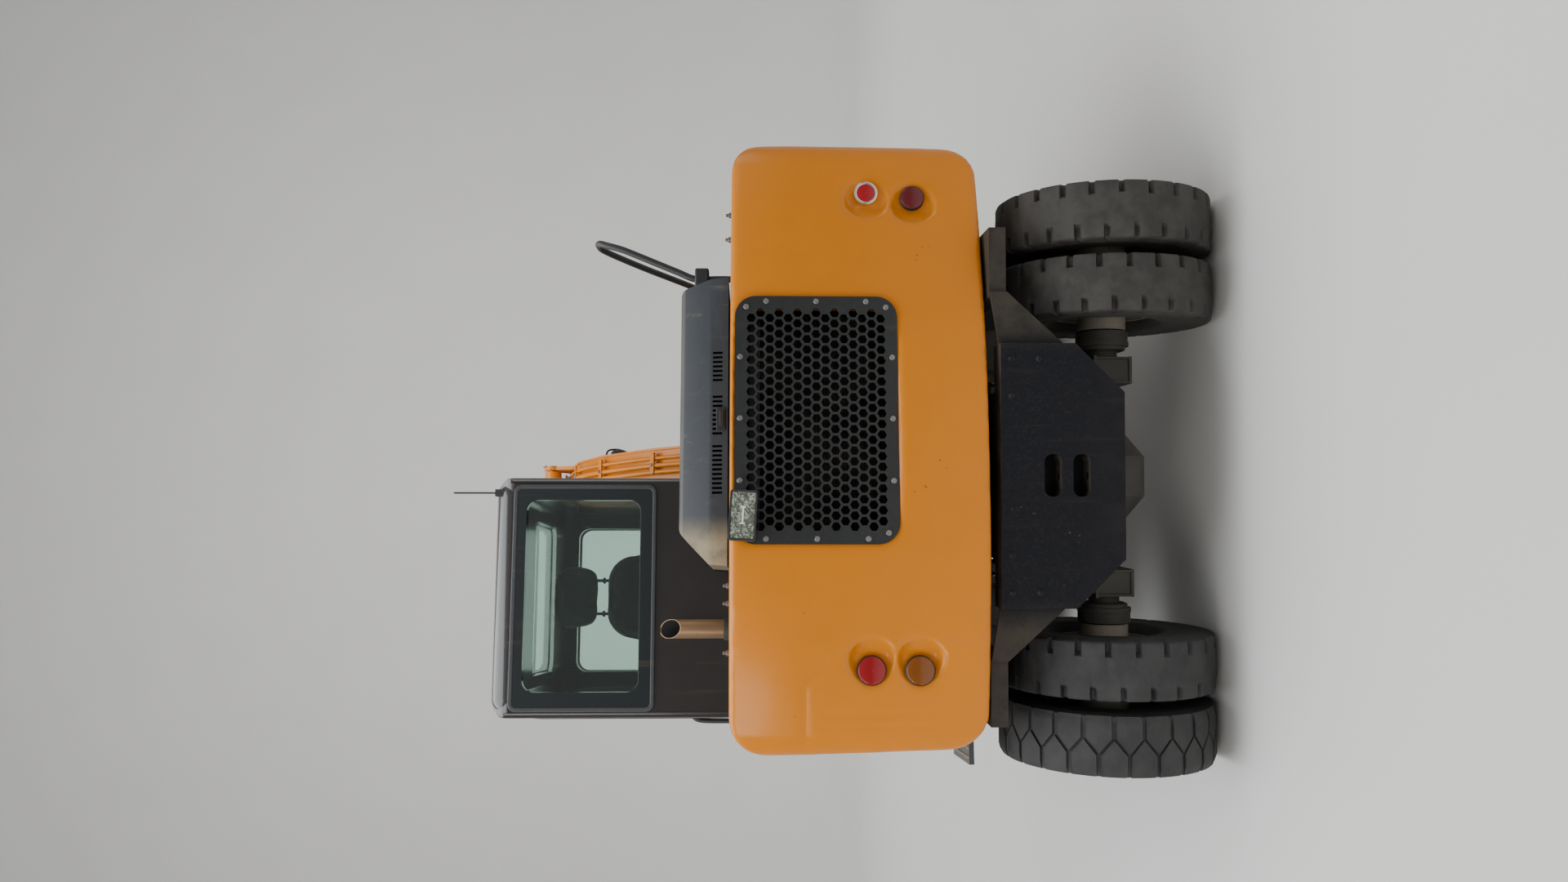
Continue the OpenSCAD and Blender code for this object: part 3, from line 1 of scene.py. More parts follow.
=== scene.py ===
# %% [markdown]
# # A wheeled excavator, dressed for a portrait from behind
# The CAD model gives every solid in metres: chassis, wheels, upper structure, boom and bucket.
# Here it gets paint, rubber, glass and the small parts that a photograph shows.
# Each step says what the real piece is, how it could be made, and why this way was chosen.

# %% Load the CAD frame
import bpy, bmesh, json, math
from math import sin, cos, pi, radians, sqrt
from mathutils import Matrix, Vector, noise
from mathutils.bvhtree import BVHTree


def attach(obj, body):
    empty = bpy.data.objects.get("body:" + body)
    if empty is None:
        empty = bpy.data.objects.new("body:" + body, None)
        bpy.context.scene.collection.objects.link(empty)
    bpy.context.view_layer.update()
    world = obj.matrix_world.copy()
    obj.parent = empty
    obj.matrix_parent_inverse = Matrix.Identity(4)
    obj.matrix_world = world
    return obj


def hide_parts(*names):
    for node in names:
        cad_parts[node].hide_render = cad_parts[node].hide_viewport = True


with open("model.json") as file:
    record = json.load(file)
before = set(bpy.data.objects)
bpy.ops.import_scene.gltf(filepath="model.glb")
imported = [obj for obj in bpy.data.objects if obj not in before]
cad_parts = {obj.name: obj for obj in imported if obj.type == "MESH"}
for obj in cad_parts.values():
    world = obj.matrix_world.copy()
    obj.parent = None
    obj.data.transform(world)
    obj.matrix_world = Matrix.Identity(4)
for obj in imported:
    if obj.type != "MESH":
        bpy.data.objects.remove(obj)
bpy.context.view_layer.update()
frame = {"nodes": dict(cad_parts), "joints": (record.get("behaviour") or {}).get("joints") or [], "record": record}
joints = {j["name"]: j for j in frame["joints"]}
body_of = {n: b for b, members in frame["record"]["behaviour"]["bodies"].items() for n in members}
slot_of = {s["node"]: s["material_slot"] for s in frame["record"]["subparts"]}

# %% [markdown]
# ## Places
# The upper structure is parked with a small swing, so its parts are easier to place in its own frame: x to
# the right, y forward, the swing axis at zero. The swing joint and the boom's axis say where that frame
# lies. Every new mesh is then moved to where it stands at rest, so that textures read the same place in
# every piece.

# %% Frames of the chassis, the upper structure and the boom
pivot = Vector(joints["swing"]["pos_m"])
boom_axis = joints["boom_lift"]["axis"]
swing = math.atan2(boom_axis[1], boom_axis[0])
CHASSIS = Matrix.Translation((pivot.x, pivot.y, 0))
UPPER = CHASSIS @ Matrix.Rotation(swing, 4, "Z")
TO_UPPER = UPPER.inverted()
QUARTER = radians(90)


def local(joint):
    return TO_UPPER @ Vector(joints[joint]["pos_m"])


boom_foot, arm_pin = local("boom_lift"), local("arm_fold")
boom_tilt = math.atan2(arm_pin.z - boom_foot.z, arm_pin.y - boom_foot.y)
BOOM = UPPER @ Matrix.Translation(boom_foot) @ Matrix.Rotation(boom_tilt, 4, "X")
print("swing", round(math.degrees(swing), 2), "boom", round(math.degrees(boom_tilt), 1))

# %% [markdown]
# ## Camera
# The photographer stood behind the machine with the phone on its side, so the machine's up points to the
# image's left. Straight edges of the counterweight and cab give the focal length, the height and the small
# turn.

# %% Camera
SENSOR_MM, FOCAL_PX, IMAGE_PX = 36, 1400, 1920
eye = CHASSIS @ Vector((-0.0375, -5.8417, 1.885))
turn, dip, roll = radians(2.2), radians(1.64), radians(0.15)
right = Vector((cos(turn), -sin(turn), 0))
ahead = Vector((sin(turn) * cos(dip), cos(turn) * cos(dip), -sin(dip)))
above = right.cross(ahead)
view = Matrix((-above, right, -ahead)).transposed().to_4x4()
camera = bpy.data.objects.new("camera", bpy.data.cameras.new("camera"))
bpy.context.scene.collection.objects.link(camera)
camera.matrix_world = Matrix.Translation(eye) @ view @ Matrix.Rotation(roll, 4, "Z")
camera.data.sensor_width = SENSOR_MM
camera.data.lens = FOCAL_PX / IMAGE_PX * SENSOR_MM
camera.data.clip_end = 200
bpy.context.scene.camera = camera
print("camera at", [round(v, 3) for v in eye])

# %% [markdown]
# ## Floor and light
# A pale floor that bends up into a wall far behind gives a quiet background with no edge. Outdoors the sky
# lit the machine from above, so the studio gets one large soft light overhead, weaker ones behind the
# camera and on the right, one for the wall, and a pale world for the reflections in paint and glass.

# %% Floor and lights
def linked(obj):
    bpy.context.scene.collection.objects.link(obj)
    return obj


FLOOR_END, BEND, FAR = 14, 6, 60
sweep = [(y, 0.0) for y in (-14, -6, 0, 8, FLOOR_END)]
sweep += [(FLOOR_END + BEND * sin(a * pi / 24), BEND - BEND * cos(a * pi / 24)) for a in range(1, 13)]
sweep += [(FLOOR_END + BEND, FAR / 2), (FLOOR_END + BEND, FAR)]
floor_mesh = bpy.data.meshes.new("floor")
floor_mesh.from_pydata([(x, y, z) for x in (-FAR, FAR) for y, z in sweep], [],
                       [(i, i + 1, i + 1 + len(sweep), i + len(sweep)) for i in range(len(sweep) - 1)])
floor_mesh.polygons.foreach_set("use_smooth", [True] * len(floor_mesh.polygons))
floor = linked(bpy.data.objects.new("floor", floor_mesh))


def soft_light(name, at, aim, size, power, colour):
    lamp = bpy.data.lights.new(name, "AREA")
    lamp.shape, lamp.size, lamp.size_y = "RECTANGLE", *size
    lamp.energy, lamp.color = power, colour
    obj = linked(bpy.data.objects.new(name, lamp))
    obj.location = at
    obj.rotation_euler = (Vector(aim) - Vector(at)).to_track_quat("-Z", "Y").to_euler()


soft_light("sky_panel", (-1.5, -3.0, 7.5), (0, -1.5, 1.2), (7, 7), 620, (0.93, 0.97, 1.0))
soft_light("rear_fill", (-5.5, -9.0, 4.2), (0, -2.0, 1.3), (4, 3), 210, (1.0, 0.97, 0.93))
soft_light("wall_wash", (0, 3.0, 11.0), (0, 19.0, 7.0), (16, 3), 1500, (1.0, 1.0, 1.0))
soft_light("right_fill", (7.5, -3.5, 4.0), (0, -1.0, 1.2), (4, 3), 70, (1.0, 0.98, 0.95))
world = bpy.data.worlds.new("studio")
bpy.context.scene.world = world
world.use_nodes = True
sky = world.node_tree
backdrop = sky.nodes["Background"]
backdrop.inputs["Strength"].default_value = 0.62
place = sky.nodes.new("ShaderNodeTexCoord")
split = sky.nodes.new("ShaderNodeSeparateXYZ")
fade = sky.nodes.new("ShaderNodeValToRGB")
for stop, position, colour in zip(fade.color_ramp.elements, (0.42, 0.80),
                                  ((0.26, 0.26, 0.25, 1), (0.98, 1.0, 1.0, 1))):
    stop.position, stop.color = position, colour
half = sky.nodes.new("ShaderNodeMath")
half.operation, half.inputs[1].default_value, half.inputs[2].default_value = "MULTIPLY_ADD", 0.5, 0.5
sky.links.new(place.outputs["Generated"], split.inputs[0])
sky.links.new(split.outputs["Z"], half.inputs[0])
sky.links.new(half.outputs[0], fade.inputs[0])
sky.links.new(fade.outputs[0], backdrop.inputs["Color"])
print("floor and", len(bpy.data.lights), "lights")

# %% [markdown]
# ## Shader building blocks
# A material is a small graph. These helpers add a node with its values and links in one line, and give back
# the socket that comes next, so that a finish reads from top to bottom like a recipe.

# %% Helpers for shader graphs
def add(tree, kind, ins=None, **props):
    node = tree.nodes.new(kind)
    for key, value in props.items():
        setattr(node, key, value)
    for key, value in (ins or {}).items():
        if isinstance(value, bpy.types.NodeSocket):
            tree.links.new(value, node.inputs[key])
        else:
            node.inputs[key].default_value = value
    return node


def calc(tree, op, a, b=0.0, c=0.0, clamp=False):
    return add(tree, "ShaderNodeMath", {0: a, 1: b, 2: c}, operation=op, use_clamp=clamp).outputs[0]


def step(tree, value, low, high, a=0.0, b=1.0):
    return add(tree, "ShaderNodeMapRange", {"Value": value, "From Min": low, "From Max": high, "To Min": a,
                                            "To Max": b}, interpolation_type="SMOOTHSTEP").outputs[0]


def mix(tree, fac, a, b):
    return add(tree, "ShaderNodeMix", {0: fac, 6: a, 7: b}, data_type="RGBA").outputs[2]


def grains(tree, at, scale, detail=4.0, rough=0.55, warp=0.0):
    return add(tree, "ShaderNodeTexNoise", {"Vector": at, "Scale": scale, "Detail": detail,
                                            "Roughness": rough, "Distortion": warp}).outputs[0]


def stretched(tree, at, scale):
    return add(tree, "ShaderNodeMapping", {"Vector": at, "Scale": scale}).outputs[0]


def group(name, ins, outs):
    tree = bpy.data.node_groups.new(name, "ShaderNodeTree")
    for label, kind, value in ins:
        socket = tree.interface.new_socket(label, in_out="INPUT", socket_type="NodeSocket" + kind)
        if value is not None:
            socket.default_value = value
    for label, kind in outs:
        tree.interface.new_socket(label, in_out="OUTPUT", socket_type="NodeSocket" + kind)
    return tree, tree.nodes.new("NodeGroupInput").outputs, tree.nodes.new("NodeGroupOutput").inputs


# %% [markdown]
# ## Weather on a surface
# Paint that works outdoors shows the same things everywhere: slow changes of tone, dust that lies on what
# faces up, mud that thins out with height, streaks that rain draws down a wall, and small chips. One group
# makes all of them from the place and the direction of the surface, and each material sets how much.

# %% Node group: weather
weather, gi, go = group("weather", [
    ("Paint", "Color", (0.5, 0.5, 0.5, 1)), ("Dust colour", "Color", (0.30, 0.24, 0.17, 1)),
    ("Chip colour", "Color", (0.05, 0.03, 0.02, 1)), ("Tone", "Float", 0.12), ("Dust", "Float", 0.3),
    ("Mud", "Float", 0.2), ("Mud height", "Float", 0.9), ("Streaks", "Float", 0.2), ("Chips", "Float", 0.2),
    ("Gloss", "Float", 0.35), ("Waves", "Float", 0.0)],
    [("Color", "Color"), ("Roughness", "Float"), ("Height", "Float"), ("Dirt", "Float")])
at = add(weather, "ShaderNodeTexCoord").outputs["Object"]
high = add(weather, "ShaderNodeSeparateXYZ", {0: at}).outputs["Z"]
normal = add(weather, "ShaderNodeNewGeometry").outputs["Normal"]
facing = add(weather, "ShaderNodeSeparateXYZ", {0: normal}).outputs["Z"]
broad, middling = grains(weather, at, 1.4, 3), grains(weather, at, 8, 6, 0.6)
fine = grains(weather, at, 90, 4, 0.7)
run_marks = grains(weather, stretched(weather, at, (26, 26, 1.3)), 1.0, 4, 0.6)
tone = calc(weather, "MULTIPLY_ADD", calc(weather, "SUBTRACT", broad, 0.5), gi["Tone"], 1.0)
tone = calc(weather, "MULTIPLY_ADD", calc(weather, "SUBTRACT", middling, 0.5),
            calc(weather, "MULTIPLY", gi["Tone"], 0.5), tone)
toned = add(weather, "ShaderNodeHueSaturation", {"Color": gi["Paint"], "Value": tone,
                                                 "Saturation": 1.0}).outputs[0]
lying = calc(weather, "MULTIPLY", step(weather, facing, 0.35, 0.95),
             step(weather, middling, 0.30, 0.62, 0.35, 1.0))
lying = calc(weather, "MULTIPLY", lying, gi["Dust"], clamp=True)
low_part = step(weather, high, gi["Mud height"], calc(weather, "MULTIPLY", gi["Mud height"], 0.15))
muddy = calc(weather, "MULTIPLY", low_part, step(weather, middling, 0.36, 0.66, 0.15, 1.0))
muddy = calc(weather, "MULTIPLY", muddy, gi["Mud"], clamp=True)
marks = calc(weather, "MULTIPLY", calc(weather, "MULTIPLY", step(weather, run_marks, 0.56, 0.74),
                                       step(weather, broad, 0.35, 0.6)), gi["Streaks"], clamp=True)
dirt = calc(weather, "MAXIMUM", calc(weather, "MAXIMUM", lying, muddy), marks)
film = calc(weather, "MULTIPLY", step(weather, fine, 0.45, 0.75), calc(weather, "MULTIPLY", gi["Dust"], 0.18))
dirt = calc(weather, "MAXIMUM", dirt, film)
cells = add(weather, "ShaderNodeTexVoronoi", {"Vector": at, "Scale": 34.0,
                                              "Randomness": 1.0}).outputs["Distance"]
chipped = calc(weather, "MULTIPLY", step(weather, cells, 0.16, 0.12),
               step(weather, grains(weather, at, 3.1, 5, 0.65), 0.60, 0.66))
chipped = calc(weather, "MULTIPLY", chipped, gi["Chips"], clamp=True)
colour = mix(weather, dirt, toned, gi["Dust colour"])
colour = mix(weather, chipped, colour, gi["Chip colour"])
uneven = calc(weather, "MULTIPLY_ADD", calc(weather, "SUBTRACT", middling, 0.5), 0.14, gi["Gloss"])
rough = calc(weather, "MULTIPLY_ADD", dirt, 0.5, uneven)
rough = calc(weather, "MULTIPLY_ADD", chipped, 0.3, rough, clamp=True)
gritty = calc(weather, "MULTIPLY", fine, calc(weather, "MULTIPLY_ADD", dirt, 0.25, 0.03))
height = calc(weather, "MULTIPLY_ADD", broad, gi["Waves"], gritty)
height = calc(weather, "MULTIPLY_ADD", chipped, -0.6, height)
for label, socket in (("Color", colour), ("Roughness", rough), ("Height", height), ("Dirt", dirt)):
    weather.links.new(socket, go[label])
print("weather group has", len(weather.nodes), "nodes")


# %% Helper: a material from the weather group
def shader(name, **values):
    mat = bpy.data.materials.new(name)
    mat.use_nodes = True
    surface = mat.node_tree.nodes["Principled BSDF"]
    for key, value in values.items():
        surface.inputs[key.replace("_", " ")].default_value = value
    return mat, mat.node_tree, surface


def weathered(name, paint, bump, values=None, **amounts):
    """A finish from the weather group: values go to the shader's own sockets, amounts to the group's."""
    mat, tree, surface = shader(name, **(values or {}))
    ins = {"Paint": (*paint, 1)}
    ins.update({k.replace("_", " "): v for k, v in amounts.items()})
    node = add(tree, "ShaderNodeGroup", node_tree=weather)
    for key, value in ins.items():
        node.inputs[key].default_value = value
    tree.links.new(node.outputs["Color"], surface.inputs["Base Color"])
    tree.links.new(node.outputs["Roughness"], surface.inputs["Roughness"])
    relief = add(tree, "ShaderNodeBump", {"Height": node.outputs["Height"], "Distance": bump,
                                          "Strength": 1.0})
    tree.links.new(relief.outputs[0], surface.inputs["Normal"])
    return mat


# %% [markdown]
# ## Paints and metals
# The orange is a solid colour under a thin clear coat, a little chalky where it looks up at the sun. The
# hood and frame are a satin dark grey, the cab a glossy brown so deep that it looks black, and the chassis
# a blue-black that carries the road's mud. All come from the one weather group with their own values.

# %% Materials of paint, casting and steel
M = {}
mud = (0.23, 0.175, 0.115, 1)
M["orange_paint"] = weathered("orange_paint", (0.66, 0.200, 0.0), 0.004,
                              dict(Coat_Weight=0.16, Coat_Roughness=0.12, Specular_IOR_Level=0.32), Tone=0.16,
                              Dust=0.06, Mud=0.18, Mud_height=0.7, Streaks=0.08, Chips=0.5, Gloss=0.32,
                              Waves=0.35, Chip_colour=(0.10, 0.035, 0.012, 1))
M["grey_paint"] = weathered("grey_paint", (0.040, 0.044, 0.049), 0.0016,
                            dict(Coat_Weight=0.08, Coat_Roughness=0.4), Tone=0.3, Dust=0.34, Mud=0.3,
                            Mud_height=1.1, Streaks=0.16, Chips=0.6, Gloss=0.46, Waves=0.1,
                            Chip_colour=(0.16, 0.14, 0.12, 1))
M["grille_black"] = weathered("grille_black", (0.016, 0.017, 0.018), 0.0008,
                              dict(Coat_Weight=0.1, Coat_Roughness=0.35), Tone=0.3, Dust=0.22, Mud=0.0,
                              Streaks=0.12, Chips=0.35, Gloss=0.38, Chip_colour=(0.1, 0.09, 0.08, 1))
M["cab_paint"] = weathered("cab_paint", (0.020, 0.016, 0.015), 0.0012,
                           dict(Coat_Weight=0.6, Coat_Roughness=0.1), Tone=0.3, Dust=0.07, Mud=0.12,
                           Mud_height=1.3, Streaks=0.07, Chips=0.2, Gloss=0.24, Waves=0.25)
M["chassis_paint"] = weathered("chassis_paint", (0.006, 0.0065, 0.010), 0.002, dict(Specular_IOR_Level=0.25),
                               Tone=0.4, Dust=0.35, Dust_colour=mud, Mud=0.22, Mud_height=0.8, Streaks=0.12,
                               Chips=0.7, Gloss=0.48, Chip_colour=(0.12, 0.06, 0.03, 1))
M["cast_parts"] = weathered("cast_parts", (0.045, 0.043, 0.038), 0.003, Tone=0.5, Dust=0.55,
                            Dust_colour=(0.115, 0.104, 0.082, 1), Mud=0.55, Mud_height=0.9, Streaks=0.25,
                            Chips=0.4, Gloss=0.6, Chip_colour=(0.14, 0.07, 0.035, 1))
M["rim_paint"] = weathered("rim_paint", (0.30, 0.27, 0.22), 0.0012, Tone=0.3, Dust=0.4, Dust_colour=mud,
                           Mud=0.5, Mud_height=0.8, Streaks=0.2, Chips=0.8, Gloss=0.5,
                           Chip_colour=(0.11, 0.05, 0.025, 1))
M["bright_steel"] = weathered("bright_steel", (0.42, 0.40, 0.38), 0.0006, dict(Metallic=1.0), Tone=0.4,
                              Dust=0.2, Streaks=0.3, Chips=0.5, Mud=0.2, Gloss=0.34,
                              Chip_colour=(0.14, 0.07, 0.035, 1))
M["chrome_rod"] = weathered("chrome_rod", (0.72, 0.72, 0.73), 0.0002, dict(Metallic=1.0), Tone=0.05,
                            Dust=0.06, Mud=0.05, Streaks=0.05, Chips=0.0, Gloss=0.1)
M["dark_plastic"] = weathered("dark_plastic", (0.022, 0.022, 0.024), 0.0012, Tone=0.2, Dust=0.25, Mud=0.1,
                              Streaks=0.05, Chips=0.1, Gloss=0.5)
M["black_rubber"] = weathered("black_rubber", (0.012, 0.012, 0.012), 0.001, Tone=0.2, Dust=0.3, Mud=0.2,
                              Streaks=0.1, Chips=0.0, Gloss=0.62)
M["worn_steel"] = weathered("worn_steel", (0.20, 0.185, 0.17), 0.002, dict(Metallic=0.8), Tone=0.6, Dust=0.45,
                            Dust_colour=mud, Mud=0.3, Mud_height=1.6, Streaks=0.4, Chips=0.9, Gloss=0.42,
                            Chip_colour=(0.15, 0.06, 0.025, 1))
M["grit_mat"] = weathered("grit_mat", (0.018, 0.018, 0.018), 0.006, Tone=0.4, Dust=0.4, Mud=0.2, Streaks=0.05,
                          Chips=0.0, Gloss=0.8)
print("materials so far:", len(M))

# %% [markdown]
# A pale cover lies in two places. On the wings of the end box, behind the wheels, it is dust lying thicker;
# on the hood's left slope it is a painted reflection of the counterweight and the sky. A mask across the
# machine, from the object's own coordinates, mixes that pale colour over the group's colour there.

# %% Dust on the end box, a painted reflection on the hood
def dust_and_reflection_across(name, base, values, inner, outer, thick, colour, both, **amounts):
    """A weathered finish with a pale cover from inner to outer across the machine, on both sides or one."""
    mat = weathered(name, base, 0.0016, values, **amounts)
    tree = mat.node_tree
    node = next(n for n in tree.nodes if n.type == "GROUP")
    place = add(tree, "ShaderNodeTexCoord").outputs["Object"]
    where = add(tree, "ShaderNodeSeparateXYZ", {0: place}).outputs
    across = calc(tree, "SUBTRACT", where[0], CHASSIS.translation.x)
    if both:
        across = calc(tree, "ABSOLUTE", across)
    else:
        along = calc(tree, "SUBTRACT", where[1], CHASSIS.translation.y)
        across = calc(tree, "ADD", calc(tree, "MULTIPLY", across, cos(swing)),
                      calc(tree, "MULTIPLY", along, sin(swing)))
    # the cover is dust on the end box; on the hood's left slope it is a painted reflection of the counterweight
    # and the sky
    cover = calc(tree, "MULTIPLY", step(tree, across, inner, outer),
                 step(tree, grains(tree, place, 11, 6, 0.65), 0.25, 0.65, 0.45 * thick, thick))
    tree.links.new(mix(tree, cover, node.outputs["Color"], colour),
                   tree.nodes["Principled BSDF"].inputs["Base Color"])
    return mat


M["end_box_paint"] = dust_and_reflection_across("end_box_paint", (0.005, 0.0055, 0.009), dict(Specular_IOR_Level=0.2), 0.46, 0.60,
                            0.8, (0.060, 0.050, 0.038, 1), True, Tone=0.4, Dust=0.2, Mud=0.12, Mud_height=0.7,
                            Streaks=0.035, Chips=0.6, Gloss=0.52, Chip_colour=(0.12, 0.06, 0.03, 1))
# painted reflection: the pale cover on the hood's left slope stands for the counterweight and the sky mirrored in
# it
M["hood_paint"] = dust_and_reflection_across("hood_paint", (0.024, 0.029, 0.036), dict(Coat_Weight=0.08, Coat_Roughness=0.4),
                         -0.30, -0.44, 0.85, (0.36, 0.29, 0.17, 1), False, Tone=0.3, Dust=0.25, Mud=0.1,
                         Mud_height=1.1, Streaks=0.16, Chips=0.6, Gloss=0.46, Waves=0.1,
                         Chip_colour=(0.16, 0.14, 0.12, 1))
print("dust masks ready")

# %% [markdown]
# ## Tyre rubber
# Old rubber is a brown-black with dust in every groove, and the side that ran on the verge is paler with
# dry mud. The dust is a cloud in the mesh's own coordinates, so it turns with the wheel.

# %% Materials of tyre rubber
def rubber(name, dust, colour):
    mat, tree, surface = shader(name, Specular_IOR_Level=0.3)
    where = add(tree, "ShaderNodeTexCoord").outputs["Object"]
    cloud, speck = grains(tree, where, 9, 6, 0.65), grains(tree, where, 120, 3, 0.7)
    cover = calc(tree, "MULTIPLY", step(tree, cloud, 0.32, 0.68, 0.25, 1.0), dust)
    cover = calc(tree, "MULTIPLY_ADD", speck, 0.25 * dust, cover, clamp=True)
    tree.links.new(mix(tree, cover, (0.024, 0.023, 0.024, 1), colour), surface.inputs["Base Color"])
    tree.links.new(calc(tree, "MULTIPLY_ADD", cover, 0.3, 0.62, clamp=True), surface.inputs["Roughness"])
    relief = add(tree, "ShaderNodeBump", {"Height": calc(tree, "MULTIPLY_ADD", speck, 0.3, cloud),
                                          "Distance": 0.0012})
    tree.links.new(relief.outputs[0], surface.inputs["Normal"])
    return mat


M["tyre"] = rubber("tyre", 0.30, (0.102, 0.099, 0.097, 1))
M["tyre_dusty"] = rubber("tyre_dusty", 0.38, (0.120, 0.112, 0.094, 1))

# %% [markdown]
# ## Glass, lamps and cloth
# Cab glass is thin, green and a little dusty. Lamp lenses are coloured plastic over a bright reflector, so
# they glow where light comes back through them. The seat is a coarse dark cloth.

# %% Materials of glass, lenses and cloth
def glassy(name, tint, rough, ior=1.5, weight=1.0, scale=60, depth=0.0002):
    mat, tree, surface = shader(name, Transmission_Weight=weight, IOR=ior, Base_Color=(*tint, 1),
                                Coat_Weight=0.2, Coat_Roughness=0.03)
    where = add(tree, "ShaderNodeTexCoord").outputs["Object"]
    smear = grains(tree, where, 2.2, 5, 0.6, 0.6)
    tree.links.new(step(tree, smear, 0.4, 0.75, rough, rough + 0.12), surface.inputs["Roughness"])
    relief = add(tree, "ShaderNodeBump", {"Height": grains(tree, where, scale, 2), "Distance": depth,
                                          "Strength": 0.3})
    tree.links.new(relief.outputs[0], surface.inputs["Normal"])
    return mat


M["tinted_glass"] = glassy("tinted_glass", (0.76, 0.93, 0.87), 0.02, scale=3, depth=0.0004)
M["lamp_lens"] = glassy("lamp_lens", (0.62, 0.012, 0.02), 0.12, 1.45, 0.55)
M["dark_red_lens"] = glassy("dark_red_lens", (0.22, 0.012, 0.02), 0.16, 1.45, 0.45)
M["amber_lens"] = glassy("amber_lens", (0.44, 0.125, 0.01), 0.12, 1.45, 0.55)
M["lamp_prism"], tree, surface = shader("lamp_prism", Metallic=0.45, Roughness=0.22, Coat_Weight=0.6,
                                        Coat_Roughness=0.05)
where = add(tree, "ShaderNodeTexCoord").outputs["Object"]
facets = add(tree, "ShaderNodeTexVoronoi", {"Vector": where, "Scale": 150.0, "Randomness": 0.8})
pale = step(tree, add(tree, "ShaderNodeSeparateColor", {0: facets.outputs["Color"]}).outputs[0], 0.35, 0.8)
tree.links.new(mix(tree, pale, (0.10, 0.115, 0.085, 1), (0.34, 0.37, 0.30, 1)), surface.inputs["Base Color"])
relief = add(tree, "ShaderNodeBump", {"Height": facets.outputs["Distance"], "Distance": 0.003})
tree.links.new(relief.outputs[0], surface.inputs["Normal"])
# painted highlight: a plain white for the filament's reflection in the work lamp; it gives no light
M["filament_glint_white"] = shader("filament_glint_white", Base_Color=(0.8, 0.8, 0.76, 1), Roughness=0.25)[0]
M["border_black"] = weathered("border_black", (0.005, 0.009, 0.011), 0.0004,
                              dict(Coat_Weight=1.0, Coat_Roughness=0.04), Tone=0.1, Dust=0.10, Mud=0.0,
                              Streaks=0.12, Chips=0.0, Gloss=0.12)
M["reflector"] = shader("reflector", Metallic=1.0, Roughness=0.12, Base_Color=(0.86, 0.86, 0.85, 1))[0]

M["seat_cloth"], tree, surface = shader("seat_cloth", Sheen_Weight=0.35, Sheen_Roughness=0.5,
                                        Specular_IOR_Level=0.25)
where = add(tree, "ShaderNodeTexCoord").outputs["Object"]
threads = {"Vector": where, "Scale": 160.0, "Distortion": 0.6, "Detail": 1.0}
warp_way, weft_way = [add(tree, "ShaderNodeTexWave", threads, bands_direction=way).outputs["Fac"]
                      for way in "XZ"]
woven = calc(tree, "MULTIPLY", warp_way, weft_way)
tree.links.new(mix(tree, woven, (0.012, 0.012, 0.013, 1), (0.045, 0.045, 0.048, 1)),
               surface.inputs["Base Color"])
tree.links.new(calc(tree, "MULTIPLY_ADD", woven, 0.15, 0.75), surface.inputs["Roughness"])
relief = add(tree, "ShaderNodeBump", {"Height": woven, "Distance": 0.0012})
tree.links.new(relief.outputs[0], surface.inputs["Normal"])

floor_mat, tree, surface = shader("studio_floor", Roughness=0.7, Specular_IOR_Level=0.2)
where = add(tree, "ShaderNodeTexCoord").outputs["Object"]
tree.links.new(mix(tree, grains(tree, where, 0.6, 5), (0.72, 0.71, 0.69, 1), (0.78, 0.77, 0.75, 1)),
               surface.inputs["Base Color"])
floor.data.materials.append(floor_mat)
print("materials:", len(M))

# %% [markdown]
# ## Softened plates
# No real steel edge is sharp. A copy of each CAD mesh gets its flat faces joined again, a bevel of a few
# millimetres on every edge that turns by more than 30 degrees, and normals that keep the flats flat.
# The bevel catches a thin line of light, which is what tells the eye that a plate has thickness.

# %% Helper: a softened copy of a CAD node
def dressed(obj, body, node, mat):
    """Give a piece its finish and the body it rides on, and hide the node it stands in for."""
    obj.data.materials.clear()
    obj.data.materials.append(M[mat])
    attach(obj, body)
    if node:
        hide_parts(node)
    return obj


def shade(mesh, angle=30):
    mesh.polygons.foreach_set("use_smooth", [True] * len(mesh.polygons))
    mesh.set_sharp_from_angle(angle=radians(angle))


def bevelled(obj, width, segments=2, angle=30):
    edge = obj.modifiers.new("edge", "BEVEL")
    edge.width, edge.segments = width, segments
    edge.limit_method, edge.angle_limit = "ANGLE", radians(angle)
    obj.modifiers.new("flats", "WEIGHTED_NORMAL")


def cleaned(node, name):
    """A copy of a CAD mesh with its corners welded and its flat triangles joined, open as a bmesh."""
    mesh = frame["nodes"][node].data.copy()
    mesh.name = name
    bm = bmesh.new()
    bm.from_mesh(mesh)
    bmesh.ops.remove_doubles(bm, verts=bm.verts, dist=2e-5)
    bmesh.ops.dissolve_limit(bm, angle_limit=radians(0.6), verts=bm.verts, edges=bm.edges)
    return mesh, bm


def softened(node, width, mat):
    mesh, bm = cleaned(node, node + "_soft")
    bm.to_mesh(mesh)
    bm.free()
    shade(mesh)
    obj = linked(bpy.data.objects.new(node + "_soft", mesh))
    bevelled(obj, width, angle=32)
    return dressed(obj, body_of[node], node, mat)


soft_width = {"end_box": 0.007, "chassis": 0.004, "house": 0.004, "deck": 0.005, "tank_box": 0.009,
              "side_door_left": 0.006, "side_door_right": 0.006, "cab_door": 0.006, "boom": 0.004,
              "arm": 0.004, "bucket": 0.003, "blade": 0.003, "side_step": 0.002, "step_boxes": 0.004,
              "axle_rear": 0.006, "axle_front": 0.006, "driveline": 0.006, "knuckle_left": 0.004,
              "knuckle_right": 0.004, "rocker": 0.003, "link": 0.003}
for node, width in soft_width.items():
    softened(node, width, "end_box_paint" if node == "end_box" else slot_of[node])
for node, cad in frame["nodes"].items():
    if node not in soft_width:
        cad.data.materials.clear()
        cad.data.materials.append(M["grille_black" if node == "grille" else slot_of[node]])
        shade(cad.data)
print("softened nodes:", len(soft_width))

# %% [markdown]
# ## Small shapes
# Most trim is a turned profile, an outline pushed through a thickness, or a tube along a path.
# Each helper gives back points and faces, so that thirty bolts become one mesh and one piece.

